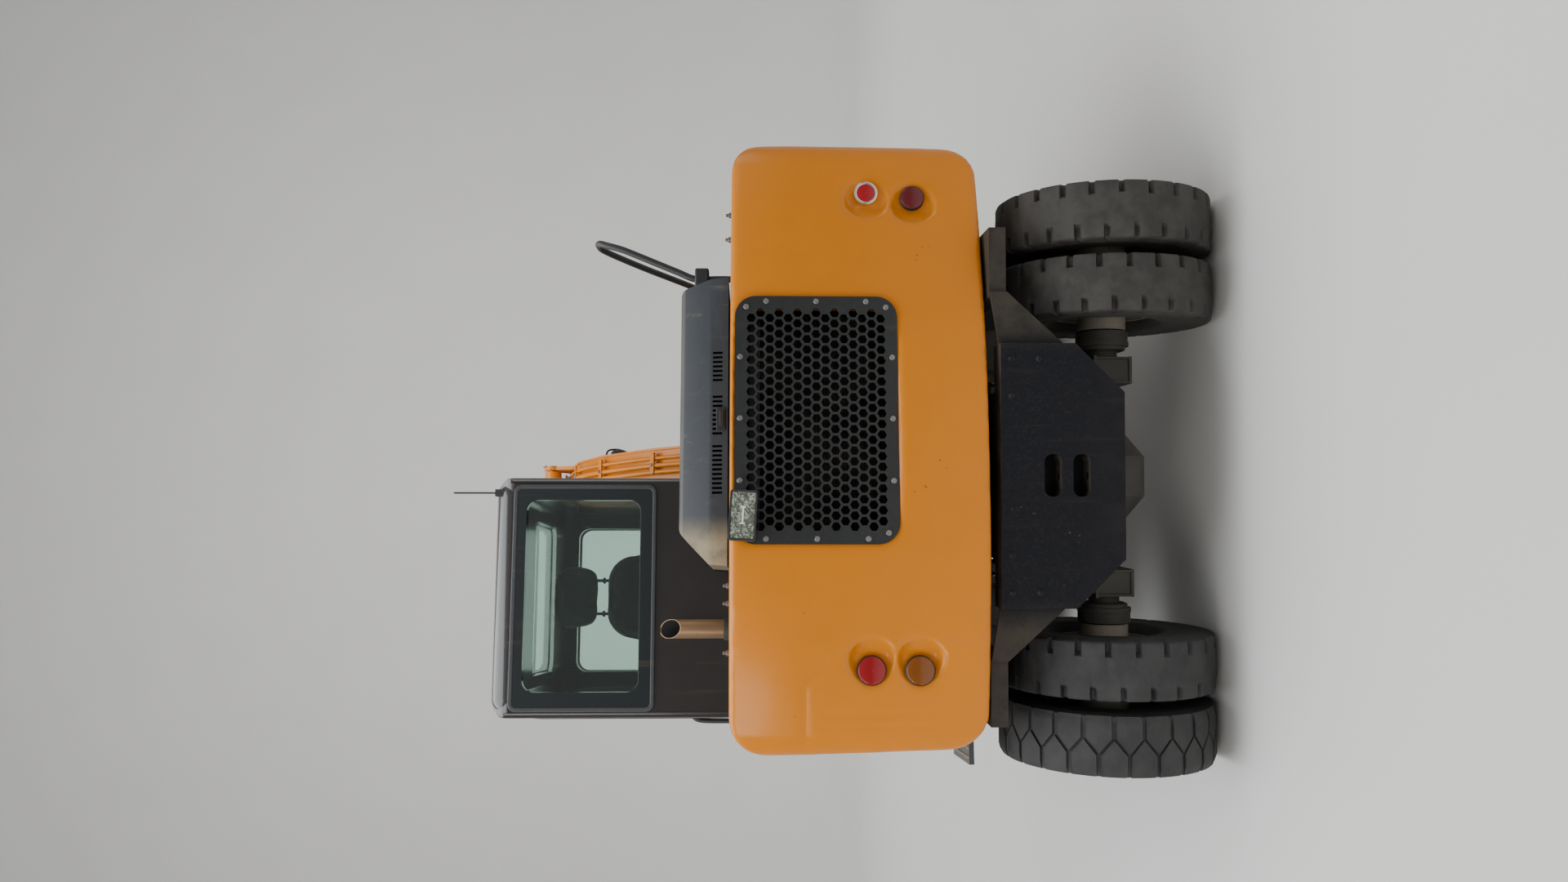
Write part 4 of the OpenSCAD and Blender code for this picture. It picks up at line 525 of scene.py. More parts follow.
# %% Helpers: turned, pushed and swept shapes
# the CAD's own material slot that each extra finish belongs to
ROLE = {"grille_black": "grey_paint", "border_black": "dark_plastic", "amber_lens": "lamp_lens",
        "dark_red_lens": "lamp_lens", "lamp_prism": "chrome_rod", "filament_glint_white": "chrome_rod",
        "reflector": "chrome_rod", "black_rubber": "dark_plastic", "worn_steel": "bright_steel",
        "tyre_dusty": "tyre", "grit_mat": "dark_plastic", "end_box_paint": "chassis_paint",
        "hood_paint": "grey_paint"}


def rings(rows, n, hoop=False):
    """Faces between rows of n points each; a hoop joins the last row to the first."""
    return [(j * n + k, j * n + (k + 1) % n, (j + 1) % rows * n + (k + 1) % n, (j + 1) % rows * n + k)
            for j in range(rows if hoop else rows - 1) for k in range(n)]


def lids(rows, n):
    return [tuple(range(n))[::-1], tuple(range((rows - 1) * n, rows * n))]


def turned(profile, n=32, at=Matrix(), hoop=False):
    circle = [(cos(2 * pi * k / n), sin(2 * pi * k / n)) for k in range(n)]
    pts = [at @ Vector((r * c, r * s, h)) for r, h in profile for c, s in circle]
    return pts, rings(len(profile), n, hoop) + ([] if hoop else lids(len(profile), n))


def pushed(outline, depth, at=Matrix()):
    n = len(outline)
    pts = [at @ Vector((x, y, z)) for z in (0, depth) for x, y in outline]
    return pts, lids(2, n) + rings(2, n)


def ringed(outer, inner, depth, at=Matrix()):
    n = len(outer)
    pts = [at @ Vector((x, y, z)) for z in (0, depth) for loop in (outer, inner) for x, y in loop]
    faces = []
    for k in range(n):
        m = (k + 1) % n
        faces += [(k, m, 2 * n + m, 2 * n + k), (n + m, n + k, 3 * n + k, 3 * n + m),
                  (m, k, n + k, n + m), (2 * n + k, 2 * n + m, 3 * n + m, 3 * n + k)]
    return pts, faces


def swept(path, radius, n=12):
    path = [Vector(p) for p in path]
    pts, side = [], None
    for i, p in enumerate(path):
        way = (path[min(i + 1, len(path) - 1)] - path[max(i - 1, 0)]).normalized()
        side = way.orthogonal().normalized() if side is None else (side - way * side.dot(way)).normalized()
        up = way.cross(side)
        pts += [p + radius * (cos(2 * pi * k / n) * side + sin(2 * pi * k / n) * up) for k in range(n)]
    return pts, rings(len(path), n) + lids(len(path), n)


def slab(lo, hi, at=Matrix()):
    outline = [(lo[0], lo[1]), (hi[0], lo[1]), (hi[0], hi[1]), (lo[0], hi[1])]
    return pushed(outline, hi[2] - lo[2], at @ Matrix.Translation((0, 0, lo[2])))


def round_box(w, h, r, n=6):
    return [(sx * (w / 2 - r) + r * cos(a), sy * (h / 2 - r) + r * sin(a))
            for sx, sy, a0 in ((1, 1, 0), (-1, 1, 90), (-1, -1, 180), (1, -1, 270))
            for a in [radians(a0 + 90 * i / n) for i in range(n + 1)]]


def framed(point, x, z):
    return Matrix.Translation(Vector(point)) @ Matrix((x, z.cross(x), z)).transposed().to_4x4()


def facing_to(point, normal, spin=0.0):
    z = Vector(normal).normalized()
    x = (Vector((0, 0, 1)).cross(z) if abs(z.z) < 0.99 else Vector((1, 0, 0))).normalized()
    return framed(point, x, z) @ Matrix.Rotation(spin, 4, "Z")


def joined(parts):
    pts, faces = [], []
    for p, f in parts:
        base = len(pts)
        pts += p
        faces += [tuple(i + base for i in face) for face in f]
    return pts, faces


def piece(name, shape, mat, body="upper", place=UPPER, node=None, edge=0.0, segments=2, angle=30):
    mesh = bpy.data.meshes.new(name)
    mesh.from_pydata([tuple(p) for p in shape[0]], [], shape[1])
    mesh.transform(place)
    bm = bmesh.new()
    bm.from_mesh(mesh)
    bmesh.ops.recalc_face_normals(bm, faces=bm.faces)
    bm.to_mesh(mesh)
    bm.free()
    shade(mesh, angle)
    obj = linked(bpy.data.objects.new(name, mesh))
    if edge:
        bevelled(obj, edge, segments, angle)
    return dressed(obj, body, node, mat)


def bolt(point, normal, size=0.010, spin=0.3):
    at = facing_to(point, normal, spin)
    head = [(size, size * 0.22), (size, size * 0.72), (size * 0.86, size * 0.95), (size * 0.2, size * 0.95)]
    washer = [(size * 1.35, -0.001), (size * 1.35, size * 0.16), (size * 1.25, size * 0.24),
              (size * 0.9, size * 0.24)]
    return joined([turned(washer, 16, at), turned(head, 6, at)])


print("shape helpers ready")

# %% [markdown]
# ## Counterweight
# The real one is a thick casting: its edges are round by two centimetres, the rear face is a slow curve
# with soft waves, the top fifth leans forward, and each lamp sits in a dish. A bevel can't round such
# crossing curves evenly, so the CAD solid is turned into even small cells (a voxel remesh), relaxed so that
# its edges melt, and then moved point by point for the lean, the waves and the shallow creases around the
# left lamps.

# %% Counterweight
TAIL_BACK, TAIL_RADIUS = 1.6, 4.1
REAR_Y, LEAN_Z, LEAN_REACH, CREASE_DEEP, CREASE_WIDE = -1.15, 1.70, 0.27, 0.0032, 0.011


def tail_y(x, inset=0.0):
    """Where the counterweight's curved rear face stands, y for a given x."""
    return -TAIL_BACK + TAIL_RADIUS - sqrt((TAIL_RADIUS - inset) ** 2 - x * x)


def between(t):
    return max(0.0, min(1.0, t))


def celled(obj, voxel):
    cells = obj.modifiers.new("cells", "REMESH")
    cells.mode, cells.voxel_size = "VOXEL", voxel


def applied(obj):
    graph = bpy.context.evaluated_depsgraph_get()
    return bpy.data.meshes.new_from_object(obj.evaluated_get(graph))


raw = linked(bpy.data.objects.new("counterweight_cells", frame["nodes"]["counterweight"].data.copy()))
celled(raw, 0.012)
relax = raw.modifiers.new("relax", "SMOOTH")
relax.factor, relax.iterations = 0.5, 10
mass = applied(raw)
bpy.data.objects.remove(raw)
creases = [((-1.190, 1.680), (-0.950, 1.684)), ((-0.950, 1.684), (-0.830, 1.560)),
           ((-1.106, 1.620), (-1.100, 1.190)), ((-1.056, 1.610), (-1.052, 1.260))]


def crease_depth(x, z):
    depth = 0.0
    for (x0, z0), (x1, z1) in creases:
        t = between(((x - x0) * (x1 - x0) + (z - z0) * (z1 - z0)) / ((x1 - x0) ** 2 + (z1 - z0) ** 2))
        away = math.hypot(x - x0 - t * (x1 - x0), z - z0 - t * (z1 - z0))
        depth = max(depth, math.exp(-(away / CREASE_WIDE) ** 2))
    return CREASE_DEEP * depth


for v in mass.vertices:
    p = TO_UPPER @ v.co
    rear = between((REAR_Y - p.y) / 0.2)
    lean = max(0.0, (p.z - LEAN_Z) / LEAN_REACH)
    wave = noise.noise(Vector((p.x * 2.1, 3.1, p.z * 2.7))) * 0.0035
    wave += noise.noise(Vector((p.x * 6.3, 7.7, p.z * 5.1))) * 0.0011
    dent = crease_depth(p.x, p.z) if p.x < -0.75 else 0.0
    p.y += rear * (0.016 * lean * lean + 0.003 + wave + dent)
    v.co = UPPER @ p
shade(mass, 60)
casting = linked(bpy.data.objects.new("counterweight_casting", mass))
dressed(casting, "upper", "counterweight", "orange_paint")
print("counterweight faces", len(mass.polygons))

# %% [markdown]
# ## Lamps
# Each rear lamp is a plastic lens with rings moulded into it, in a black rubber seat; the upper right one
# has a thick chrome ring. They are turned profiles, like the real mouldings.

# %% Rear lamps
lamps = [(-0.892, 1.435, 0.056, "lamp_lens"), (-0.893, 1.254, 0.057, "amber_lens"),
         (0.962, 1.435, 0.046, "lamp_lens"), (0.946, 1.251, 0.049, "dark_red_lens")]
RUBBER_RING = [(0.90, 0.0), (1.0, 0.0), (1.0, 0.016), (0.97, 0.020), (0.93, 0.020), (0.92, 0.014)]
CHROME_RING = [(0.90, 0.0), (1.02, 0.0), (1.02, 0.020), (0.99, 0.027), (0.90, 0.029), (0.80, 0.027),
               (0.78, 0.020)]
CHROME_LAMP, DISH = 2, 0.027
for i, (x, z, r, lens) in enumerate(lamps):
    at = facing_to((x, tail_y(x, DISH) - 0.001, z), (0, -1, 0))
    shares = [0.93 - 0.0775 * k for k in range(12)]
    dome = [(r * q, 0.017 + 0.010 * sqrt(1 - q ** 2) + (0.0014 if k % 2 else 0))
            for k, q in enumerate(shares)]
    piece("lamp_lens_%d" % i, turned([(r * 0.93, 0.004)] + dome, 48, at), lens,
          node="lamps" if i == 0 else None, angle=70)
    collar = [(r * q, h) for q, h in (CHROME_RING if i == CHROME_LAMP else RUBBER_RING)]
    piece("lamp_collar_%d" % i, turned(collar, 48, at), "reflector" if i == CHROME_LAMP else "black_rubber",
          angle=50)
    piece("lamp_bowl_%d" % i, turned([(r * 0.88, 0.0015), (r * 0.86, 0.003), (r * 0.3, 0.003)], 32, at),
          "reflector")
print("rear lamps:", len(lamps))

# %% Work lamp on its bracket
lamp_face = tail_y(-0.298)
tilt = UPPER @ Matrix.Translation((-0.328, lamp_face - 0.012, 1.915)) @ Matrix.Rotation(radians(3), 4, "Y")
front = Matrix.Rotation(QUARTER, 4, "X")
housing = [ringed(round_box(0.184, 0.101, 0.012), round_box(0.170, 0.087, 0.008), 0.058, front),
           pushed(round_box(0.172, 0.089, 0.008), 0.012, front)]
piece("work_lamp_body", joined(housing), "dark_plastic", place=tilt, edge=0.0015)
cells = []
for side in (-1, 1):
    centre = Matrix.Translation((side * 0.0415, 0, 0)) @ front
    cells.append(turned([(0.020, 0.014), (0.026, 0.018), (0.033, 0.030), (0.0375, 0.050)], 32, centre))
    cells.append(turned([(0.009, 0.014), (0.009, 0.022), (0.005, 0.026), (0.001, 0.027)], 16, centre))
cells.append(slab((-0.0845, -0.043, 0.012), (0.0845, 0.043, 0.0135), front))
piece("work_lamp_bowls", joined(cells), "reflector", place=tilt)
pane = pushed(round_box(0.169, 0.086, 0.008), 0.003, front @ Matrix.Translation((0, 0, 0.052)))
piece("work_lamp_glass", pane, "lamp_prism", place=tilt, edge=0.0005)
# a white bar and two ticks painted where the filament's reflection shows: a painted highlight
bar = [slab((-0.030, -0.003, 0.0562), (0.030, 0.003, 0.0572), front)]
bar += [slab((x - 0.003, -0.009, 0.0562), (x + 0.003, 0.009, 0.0570), front) for x in (-0.030, 0.030)]
piece("work_lamp_glint_bar", joined(bar), "filament_glint_white", place=tilt)
bracket = slab((-0.358, lamp_face - 0.013, 1.895), (-0.298, lamp_face - 0.0005, 1.955))
piece("work_lamp_bracket", bracket, "grey_paint", edge=0.002)
print("work lamp ready")

# %% [markdown]
# ## Grille and radiator
# The hexagon mesh is real geometry in the CAD model. Bolts hold its frame every 20 centimetres or so, and
# behind it stands the radiator with fine upright fins between flat tubes, which read as a dark texture
# through the holes.

# %% Grille bolts and radiator core
gx, gz, gw, gh = 0.042, 1.640, 0.943, 0.616
gy = tail_y(gx + gw / 2) - 0.0123
spots = [(gx + s * (gw / 2 - 0.020), gz + t) for s in (-1, 1) for t in (-0.19, 0.0, 0.19)]
spots += [(gx + s, gz + t * (gh / 2 - 0.020)) for t in (-1, 1) for s in (-0.235, 0.0, 0.235)]
spots += [(gx + s * (gw / 2 - 0.042), gz + t * (gh / 2 - 0.042)) for s in (-1, 1) for t in (-1, 1)]
piece("grille_bolts", joined([bolt((x, gy, z), (0, -1, 0), 0.0075, 0.4 + x * 9) for x, z in spots]),
      "bright_steel")
M["radiator_fins"], tree, surface = shader("radiator_fins", Metallic=0.6, Roughness=0.5)
where = add(tree, "ShaderNodeTexCoord").outputs["Object"]
tubes = add(tree, "ShaderNodeTexWave", {"Vector": where, "Scale": 28.0}, bands_direction="Z").outputs["Fac"]
comb = add(tree, "ShaderNodeTexWave", {"Vector": where, "Scale": 110.0, "Distortion": 0.4},
           bands_direction="X").outputs["Fac"]
dusty = step(tree, grains(tree, where, 5, 6, 0.65), 0.4, 0.7)
pale = calc(tree, "MULTIPLY", dusty, calc(tree, "MULTIPLY_ADD", comb, 0.5, 0.3))
tree.links.new(mix(tree, pale, (0.012, 0.013, 0.014, 1), (0.10, 0.085, 0.06, 1)),
               surface.inputs["Base Color"])
relief = add(tree, "ShaderNodeBump", {"Height": calc(tree, "MAXIMUM", comb, tubes), "Distance": 0.004})
tree.links.new(relief.outputs[0], surface.inputs["Normal"])
ROLE["radiator_fins"] = "cast_parts"
piece("radiator_core", slab((gx - 0.425, -1.436, 1.13), (gx + 0.425, -1.430, 1.895)), "radiator_fins")
tanks = [slab((gx - 0.43, -1.450, z), (gx + 0.43, -1.430, z + 0.05)) for z in (1.115, 1.85)]
piece("radiator_tanks", joined(tanks), "grille_black", edge=0.006)
print("grille bolts:", len(spots))

# %% [markdown]
# ## Tyres
# The left outer tyre is newer: two rows of five-sided blocks point at each other over a zigzag groove. The
# others are worn nearly smooth, with short notches left at both shoulders. A ring of points that follows
# the section and drops into each notch makes the worn one in a single skin, which is how a mould works too.
# The newer tread is one block, pushed up from its outline and wrapped around the carcass 24 times a side.

# %% Tyre sections
TR, RIM, LUGS = 0.4325, 0.203, 24
PITCH = 2 * pi / LUGS
WALL = [(RIM + 0.002, 0.076), (RIM + 0.010, 0.086), (RIM + 0.022, 0.099), (RIM + 0.032, 0.105),
        (RIM + 0.036, 0.109), (RIM + 0.050, 0.110), (RIM + 0.054, 0.113), (RIM + 0.064, 0.1135),
        (RIM + 0.068, 0.111), (0.330, 0.1145), (0.352, 0.1155), (0.356, 0.116), (0.364, 0.116),
        (0.368, 0.1152), (0.388, 0.114), (0.402, 0.113)]
WORN = [(0.4120, 0.1125), (0.4215, 0.1105), (0.4275, 0.106), (0.4300, 0.098), (0.4305, 0.070),
        (0.4308, 0.060), (0.4315, 0.054), (0.4322, 0.030), (0.4310, 0.012), (0.4315, 0.0)]
TREAD_FROM, BLOCK_HIGH = 0.40, 0.0125


def hoop_of(rows, columns, place_of):
    pts = [place_of(a, j) for j in range(len(rows)) for a in columns]
    return pts, rings(len(rows), len(columns), hoop=True)


def sliced(bm, point, normal):
    everything = bm.verts[:] + bm.edges[:] + bm.faces[:]
    bmesh.ops.bisect_plane(bm, geom=everything, plane_co=point, plane_no=normal)


def worn_tyre(seed):
    half = WALL + WORN
    rows = [(r, z) for r, z in half] + [(r, -z) for r, z in half[-2::-1]]
    shares = (0.0, 0.03, 0.125, 0.15, 0.25, 0.38, 0.5, 0.53, 0.625, 0.65, 0.75, 0.88)
    cols = sorted((k + f) * PITCH for k in range(LUGS) for f in shares)

    def at_point(a, j):
        r, z = rows[j]
        f = (a / PITCH) % 1.0 - (0.5 if z < 0 else 0.0)
        deep = 1.0 if 0.01 < f < 0.16 else 0.0
        length = 0.058 + 0.010 * noise.noise(Vector((seed, 2.0 * math.floor(a / PITCH),
                                                     5.0 if z > 0 else 9.0)))
        x, y = cos(a), sin(a)
        if r > TREAD_FROM:
            notch = 0.024 * deep * between((abs(z) - length) / 0.005)
            wear = 0.0016 * noise.noise(Vector((x * 5 + seed, y * 5, z * 30)))
            wear += 0.0006 * noise.noise(Vector((x * 38 + seed, y * 38, z * 90)))
            r += wear - notch - (0.0012 if deep else 0.0)
        return Vector((r * x, r * y, z))
    return hoop_of(rows, cols, at_point)


def blocked_tyre():
    smooth = WALL + [(0.414, 0.1125), (0.4185, 0.109), (0.4200, 0.100), (0.4205, 0.05), (0.4205, 0.0)]
    rows = smooth + [(r, -z) for r, z in smooth[-2::-1]]
    parts = [hoop_of(rows, [k * 2 * pi / 96 for k in range(96)],
                     lambda a, j: Vector((rows[j][0] * cos(a), rows[j][0] * sin(a), rows[j][1])))]
    reach, groove, corner, tip, edge = PITCH * TR, 0.0085, 0.031, 0.0265, 0.1135
    wide = reach / 2 - groove
    outline = [(-wide, edge), (wide, edge), (wide, corner), (0.0, -tip), (-wide, corner)]
    bm = bmesh.new()
    bm.faces.new([bm.verts.new((s, z, 0.0)) for s, z in outline])
    for s in (-0.036, -0.018, 0.0, 0.018, 0.036):
        sliced(bm, (s, 0, 0), (1, 0, 0))
    for z in (0.080, 0.100):
        sliced(bm, (0, z, 0), (0, 1, 0))
    risen = bmesh.ops.extrude_face_region(bm, geom=bm.faces[:])["geom"]
    bmesh.ops.translate(bm, verts=[g for g in risen if isinstance(g, bmesh.types.BMVert)],
                        vec=(0, 0, BLOCK_HIGH))
    bottom = [f for f in bm.faces if all(v.co.z < 0.001 for v in f.verts)]
    bmesh.ops.delete(bm, geom=bottom, context="FACES_ONLY")
    top = [f for f in bm.faces if all(v.co.z > 0.012 for v in f.verts)]
    bmesh.ops.inset_region(bm, faces=top, thickness=0.0028, depth=0.0022, use_even_offset=True)
    block_pts = [v.co.copy() for v in bm.verts]
    bm.verts.index_update()
    block_faces = [tuple(v.index for v in f.verts) for f in bm.faces]
    bm.free()
    for k in range(LUGS):
        for side in (1, -1):
            turn_by = (k + (0.5 if side < 0 else 0.0)) * PITCH
            pts = []
            for s, z, h in block_pts:
                drop = 0.013 * max(0.0, (z - 0.078) / 0.0355) ** 2
                r, a = TR - 0.0147 + h - drop, turn_by + s / TR
                pts.append(Vector((r * cos(a), r * sin(a), side * z)))
            parts.append((pts, block_faces))
    return joined(parts)


print("tyre sections ready:", LUGS, "lugs a side, pitch", round(PITCH * TR * 1000), "mm")

# %% Tyres and wheel nuts
outer_x, inner_x, nut_circle = 1.017, 0.737, 0.124
axles = {"rear": joints["wheel_rear_left_spin"]["pos_m"], "front": joints["wheel_front_left_spin"]["pos_m"]}
for axle, spot in axles.items():
    for s, side in ((-1, "left"), (1, "right")):
        node = "tyres_%s_%s" % (axle, side)
        for x, row in ((outer_x, "outer"), (inner_x, "inner")):
            newer = (side, row) == ("left", "outer")
            shape = blocked_tyre() if newer else worn_tyre(x * 7 + s * 3 + len(axle))
            rolled = Matrix.Rotation(0.37 * (x * 7 + s), 4, "X") @ Matrix.Rotation(QUARTER, 4, "Y")
            at_wheel = Matrix.Translation((pivot.x + s * x, spot[1], spot[2])) @ rolled
            piece("tyre_%s_%s_%s" % (axle, side, row), shape, "tyre" if side == "left" else "tyre_dusty",
                  body_of[node], at_wheel, node if row == "outer" else None, angle=36)
        hub = Matrix.Translation((pivot.x + s * 1.0135, spot[1], spot[2]))
        face = hub @ Matrix.Rotation(s * QUARTER, 4, "Y")
        round_hub = [(nut_circle * cos(k * pi / 4), nut_circle * sin(k * pi / 4), 0.0) for k in range(8)]
        nuts = [bolt(p, (0, 0, 1), 0.0135, k) for k, p in enumerate(round_hub)]
        piece("wheel_nuts_%s_%s" % (axle, side), joined(nuts), "cast_parts", body_of[node], face)
print("tyres placed")

# %% [markdown]
# ## Cab glass and seals
# The rear glass is glued on from outside: a broad black border hides the glue, and a rubber edge frames it.
# The other windows sit in moulded rubber. Each seal is a rounded loop with a hole, so one helper makes them
# all.

# %% Window border and seals
cab_l, cab_r, cab_b, cab_f, cab_t = -1.121, -0.099, -0.850, 0.770, 2.990
REAR = Matrix.Translation((0, cab_b, 0)) @ Matrix.Rotation(QUARTER, 4, "X")


def side_pane(x, quarter):
    """The frame of a side window: z out of the glass, y up."""
    return Matrix.Translation((x, 0, 0)) @ Matrix.Rotation(quarter, 4, "Y") @ Matrix.Rotation(quarter, 4, "Z")


LEFT, RIGHT = side_pane(cab_l, -QUARTER), side_pane(cab_r, QUARTER)


def loop_at(x, y, w, h, r):
    return [(x + px, y + py) for px, py in round_box(w, h, r)]


border = ringed(loop_at(-0.612, 2.600, 0.930, 0.584, 0.022), loop_at(-0.605, 2.607, 0.813, 0.490, 0.05),
                0.006, REAR)
piece("rear_glass_border", border, "border_black", edge=0.0015)
rim = ringed(loop_at(-0.612, 2.600, 0.962, 0.614, 0.034), loop_at(-0.612, 2.600, 0.926, 0.580, 0.020), 0.010,
             REAR)
piece("rear_glass_edge", rim, "grey_paint", edge=0.0035)


def seal(name, matrix, x, z, w, h, r, body="upper"):
    """A rubber loop round a window of w by h: 18 mm wider on every side, 4 mm over the pane, 7 mm proud."""
    outer = loop_at(x, z, w + 0.036, h + 0.036, r + 0.018)
    inner = loop_at(x, z, w - 0.008, h - 0.008, r - 0.004)
    piece(name, ringed(outer, inner, 0.007, matrix), "black_rubber", body, edge=0.003)


seal("right_window_seal", RIGHT, -0.060, 2.385, 1.180, 0.860, 0.080)
seal("quarter_window_seal", LEFT, 0.600, 2.385, 0.330, 0.860, 0.060)
seal("door_window_seal", LEFT, -0.120, 2.370, 0.740, 0.910, 0.070, body_of["cab_door"])
print("cab seals done")

# %% Door handle and grab bar
handle = [ringed(loop_at(0.255, 1.760, 0.190, 0.085, 0.020), loop_at(0.255, 1.760, 0.166, 0.061, 0.012),
                 0.007, LEFT), slab((0.170, 1.728, 0.0), (0.340, 1.792, 0.002), LEFT)]
piece("cab_door_handle_cup", joined(handle), "dark_plastic", body_of["cab_door"], edge=0.002)
grip = slab((0.180, 1.750, 0.004), (0.330, 1.772, 0.016), LEFT)
piece("cab_door_handle_bar", grip, "dark_plastic", body_of["cab_door"], edge=0.005, segments=3)


def smooth_path(points, per=6):
    """A smooth curve through the points, with per steps between two of them."""
    pts = [Vector(p) for p in points]
    pts = [2 * pts[0] - pts[1]] + pts + [2 * pts[-1] - pts[-2]]
    out = []
    for i in range(1, len(pts) - 2):
        for k in range(per):
            a, b, c, d = pts[i - 1:i + 3]
            t = k / per
            out.append(0.5 * (2 * b + (c - a) * t + (2 * a - 5 * b + 4 * c - d) * t * t
                              + (3 * b - a - 3 * c + d) * t ** 3))
    return out + [pts[-2]]


bends = ((-0.004, 1.45), (0.030, 1.46), (0.052, 1.50), (0.055, 1.70), (0.055, 1.95), (0.052, 2.11),
         (0.030, 2.15), (-0.004, 2.16))
bar = [(cab_l - out, -0.385, z) for out, z in bends]
piece("cab_grab_bar", swept(smooth_path(bar), 0.011, 14), "dark_plastic")
print("door handle and grab bar done")

# %% [markdown]
# ## Cab shell with round roof edges
# The roof's edges are pressed round, so they mirror the sky in a broad soft band. The CAD solid has
# straight chamfers there. The rear band is a quarter round drawn along the roof's edge and down both
# corners. The long side edges are cut into strips that are drawn in to an arc. The rear posts and the
# hood's top get a wide bevel of their own before the fine bevel of all other edges.

# %% Cab shell
def round_roof_sides(bm, radius, steps=7):
    """Round the roof's long side edges: cut the faces into strips there and draw the strips in to an arc."""
    for a in [radians(90 * k / steps) for k in range(1, steps + 1)]:
        reach = radius * (1 - cos(a))
        for point, normal in (((cab_l + reach, 0, 0), (1, 0, 0)), ((cab_r - reach, 0, 0), (1, 0, 0)),
                              ((0, 0, cab_t - reach), (0, 0, 1))):
            sliced(bm, UPPER @ Vector(point), UPPER.to_3x3() @ Vector(normal))
    for v in bm.verts:
        p = TO_UPPER @ v.co
        for mid_x, side in ((cab_l + radius, -1), (cab_r - radius, 1)):
            dx, dz = (p.x - mid_x) * side, p.z - (cab_t - radius)
            far = math.hypot(dx, dz)
            if dx > 0 and dz > 0 and far > radius:
                p.x, p.z = mid_x + side * dx * radius / far, cab_t - radius + dz * radius / far
                v.co = UPPER @ p


def rounded_shell(node, pick, width, mat, roof_radius=0.0):
    """A CAD node with a wide bevel on the edges that pick chooses, and a fine one on all the others."""
    mesh, bm = cleaned(node, node + "_round")
    chosen = [e for e in bm.edges if len(e.link_faces) == 2
              and radians(15) < e.calc_face_angle(0) < radians(100)
              and all(pick(TO_UPPER @ v.co) for v in e.verts)]
    bmesh.ops.bevel(bm, geom=chosen, offset=width, offset_type="OFFSET", segments=4, profile=0.5,
                    affect="EDGES", clamp_overlap=False)
    if roof_radius:
        round_roof_sides(bm, roof_radius)
    bm.to_mesh(mesh)
    bm.free()
    shade(mesh, 34)
    obj = linked(bpy.data.objects.new(node + "_round", mesh))
    bevelled(obj, 0.003, angle=34)
    print(node, "rounded edges:", len(chosen))
    return dressed(obj, body_of[node], node, mat)


def rear_upright(p):
    return p.y < cab_b + 0.001 and (p.x < cab_l + 0.001 or p.x > cab_r - 0.001)


rounded_shell("cab_shell", rear_upright, 0.026, "cab_paint", roof_radius=0.081)
band_r, corner_r = 0.076, 0.082
path = [(cab_l + corner_r - corner_r * cos(a), cab_t - corner_r + corner_r * sin(a), -cos(a), sin(a))
        for a in [radians(9 * k) for k in range(11)]]
path += [(cab_r - corner_r + corner_r * cos(a), cab_t - corner_r + corner_r * sin(a), cos(a), sin(a))
         for a in [radians(90 - 9 * k) for k in range(11)]]
section = [(band_r + 0.002, 0.0015)]
section += [(band_r * (1 - sin(a)), band_r * (1 - cos(a))) for a in [radians(10 * k) for k in range(10)]]
section += [(0.002, band_r + 0.004), (0.025, band_r + 0.002), (band_r + 0.002, 0.025)]
pts = [Vector((x - e * nx, cab_b + y, z - e * nz)) for x, z, nx, nz in path for e, y in section]
band_faces = rings(len(path), len(section)) + lids(len(path), len(section))
piece("cab_roof_band", (pts, band_faces), "cab_paint", angle=40)
hood_top = 1.975 + 0.190
rounded_shell("hood", lambda p: p.z > hood_top - 0.0015, 0.022, "hood_paint")

# %% [markdown]
# ## Seat
# Behind the glass stands a seat with a separate headrest on two posts. Each pad starts as a slightly small
# rounded block, is cut into even cells, and is blown up like a cushion by a short cloth simulation. The
# swelling is capped, so that the pad stays inside the space of its CAD solid. Piping along the seams comes
# afterwards.

# %% Seat pads
FLOOR_Z, SEAT_X = 1.4003, cab_l + 0.511
PRESSURE, CLOTH_FRAMES = 4.0, 20


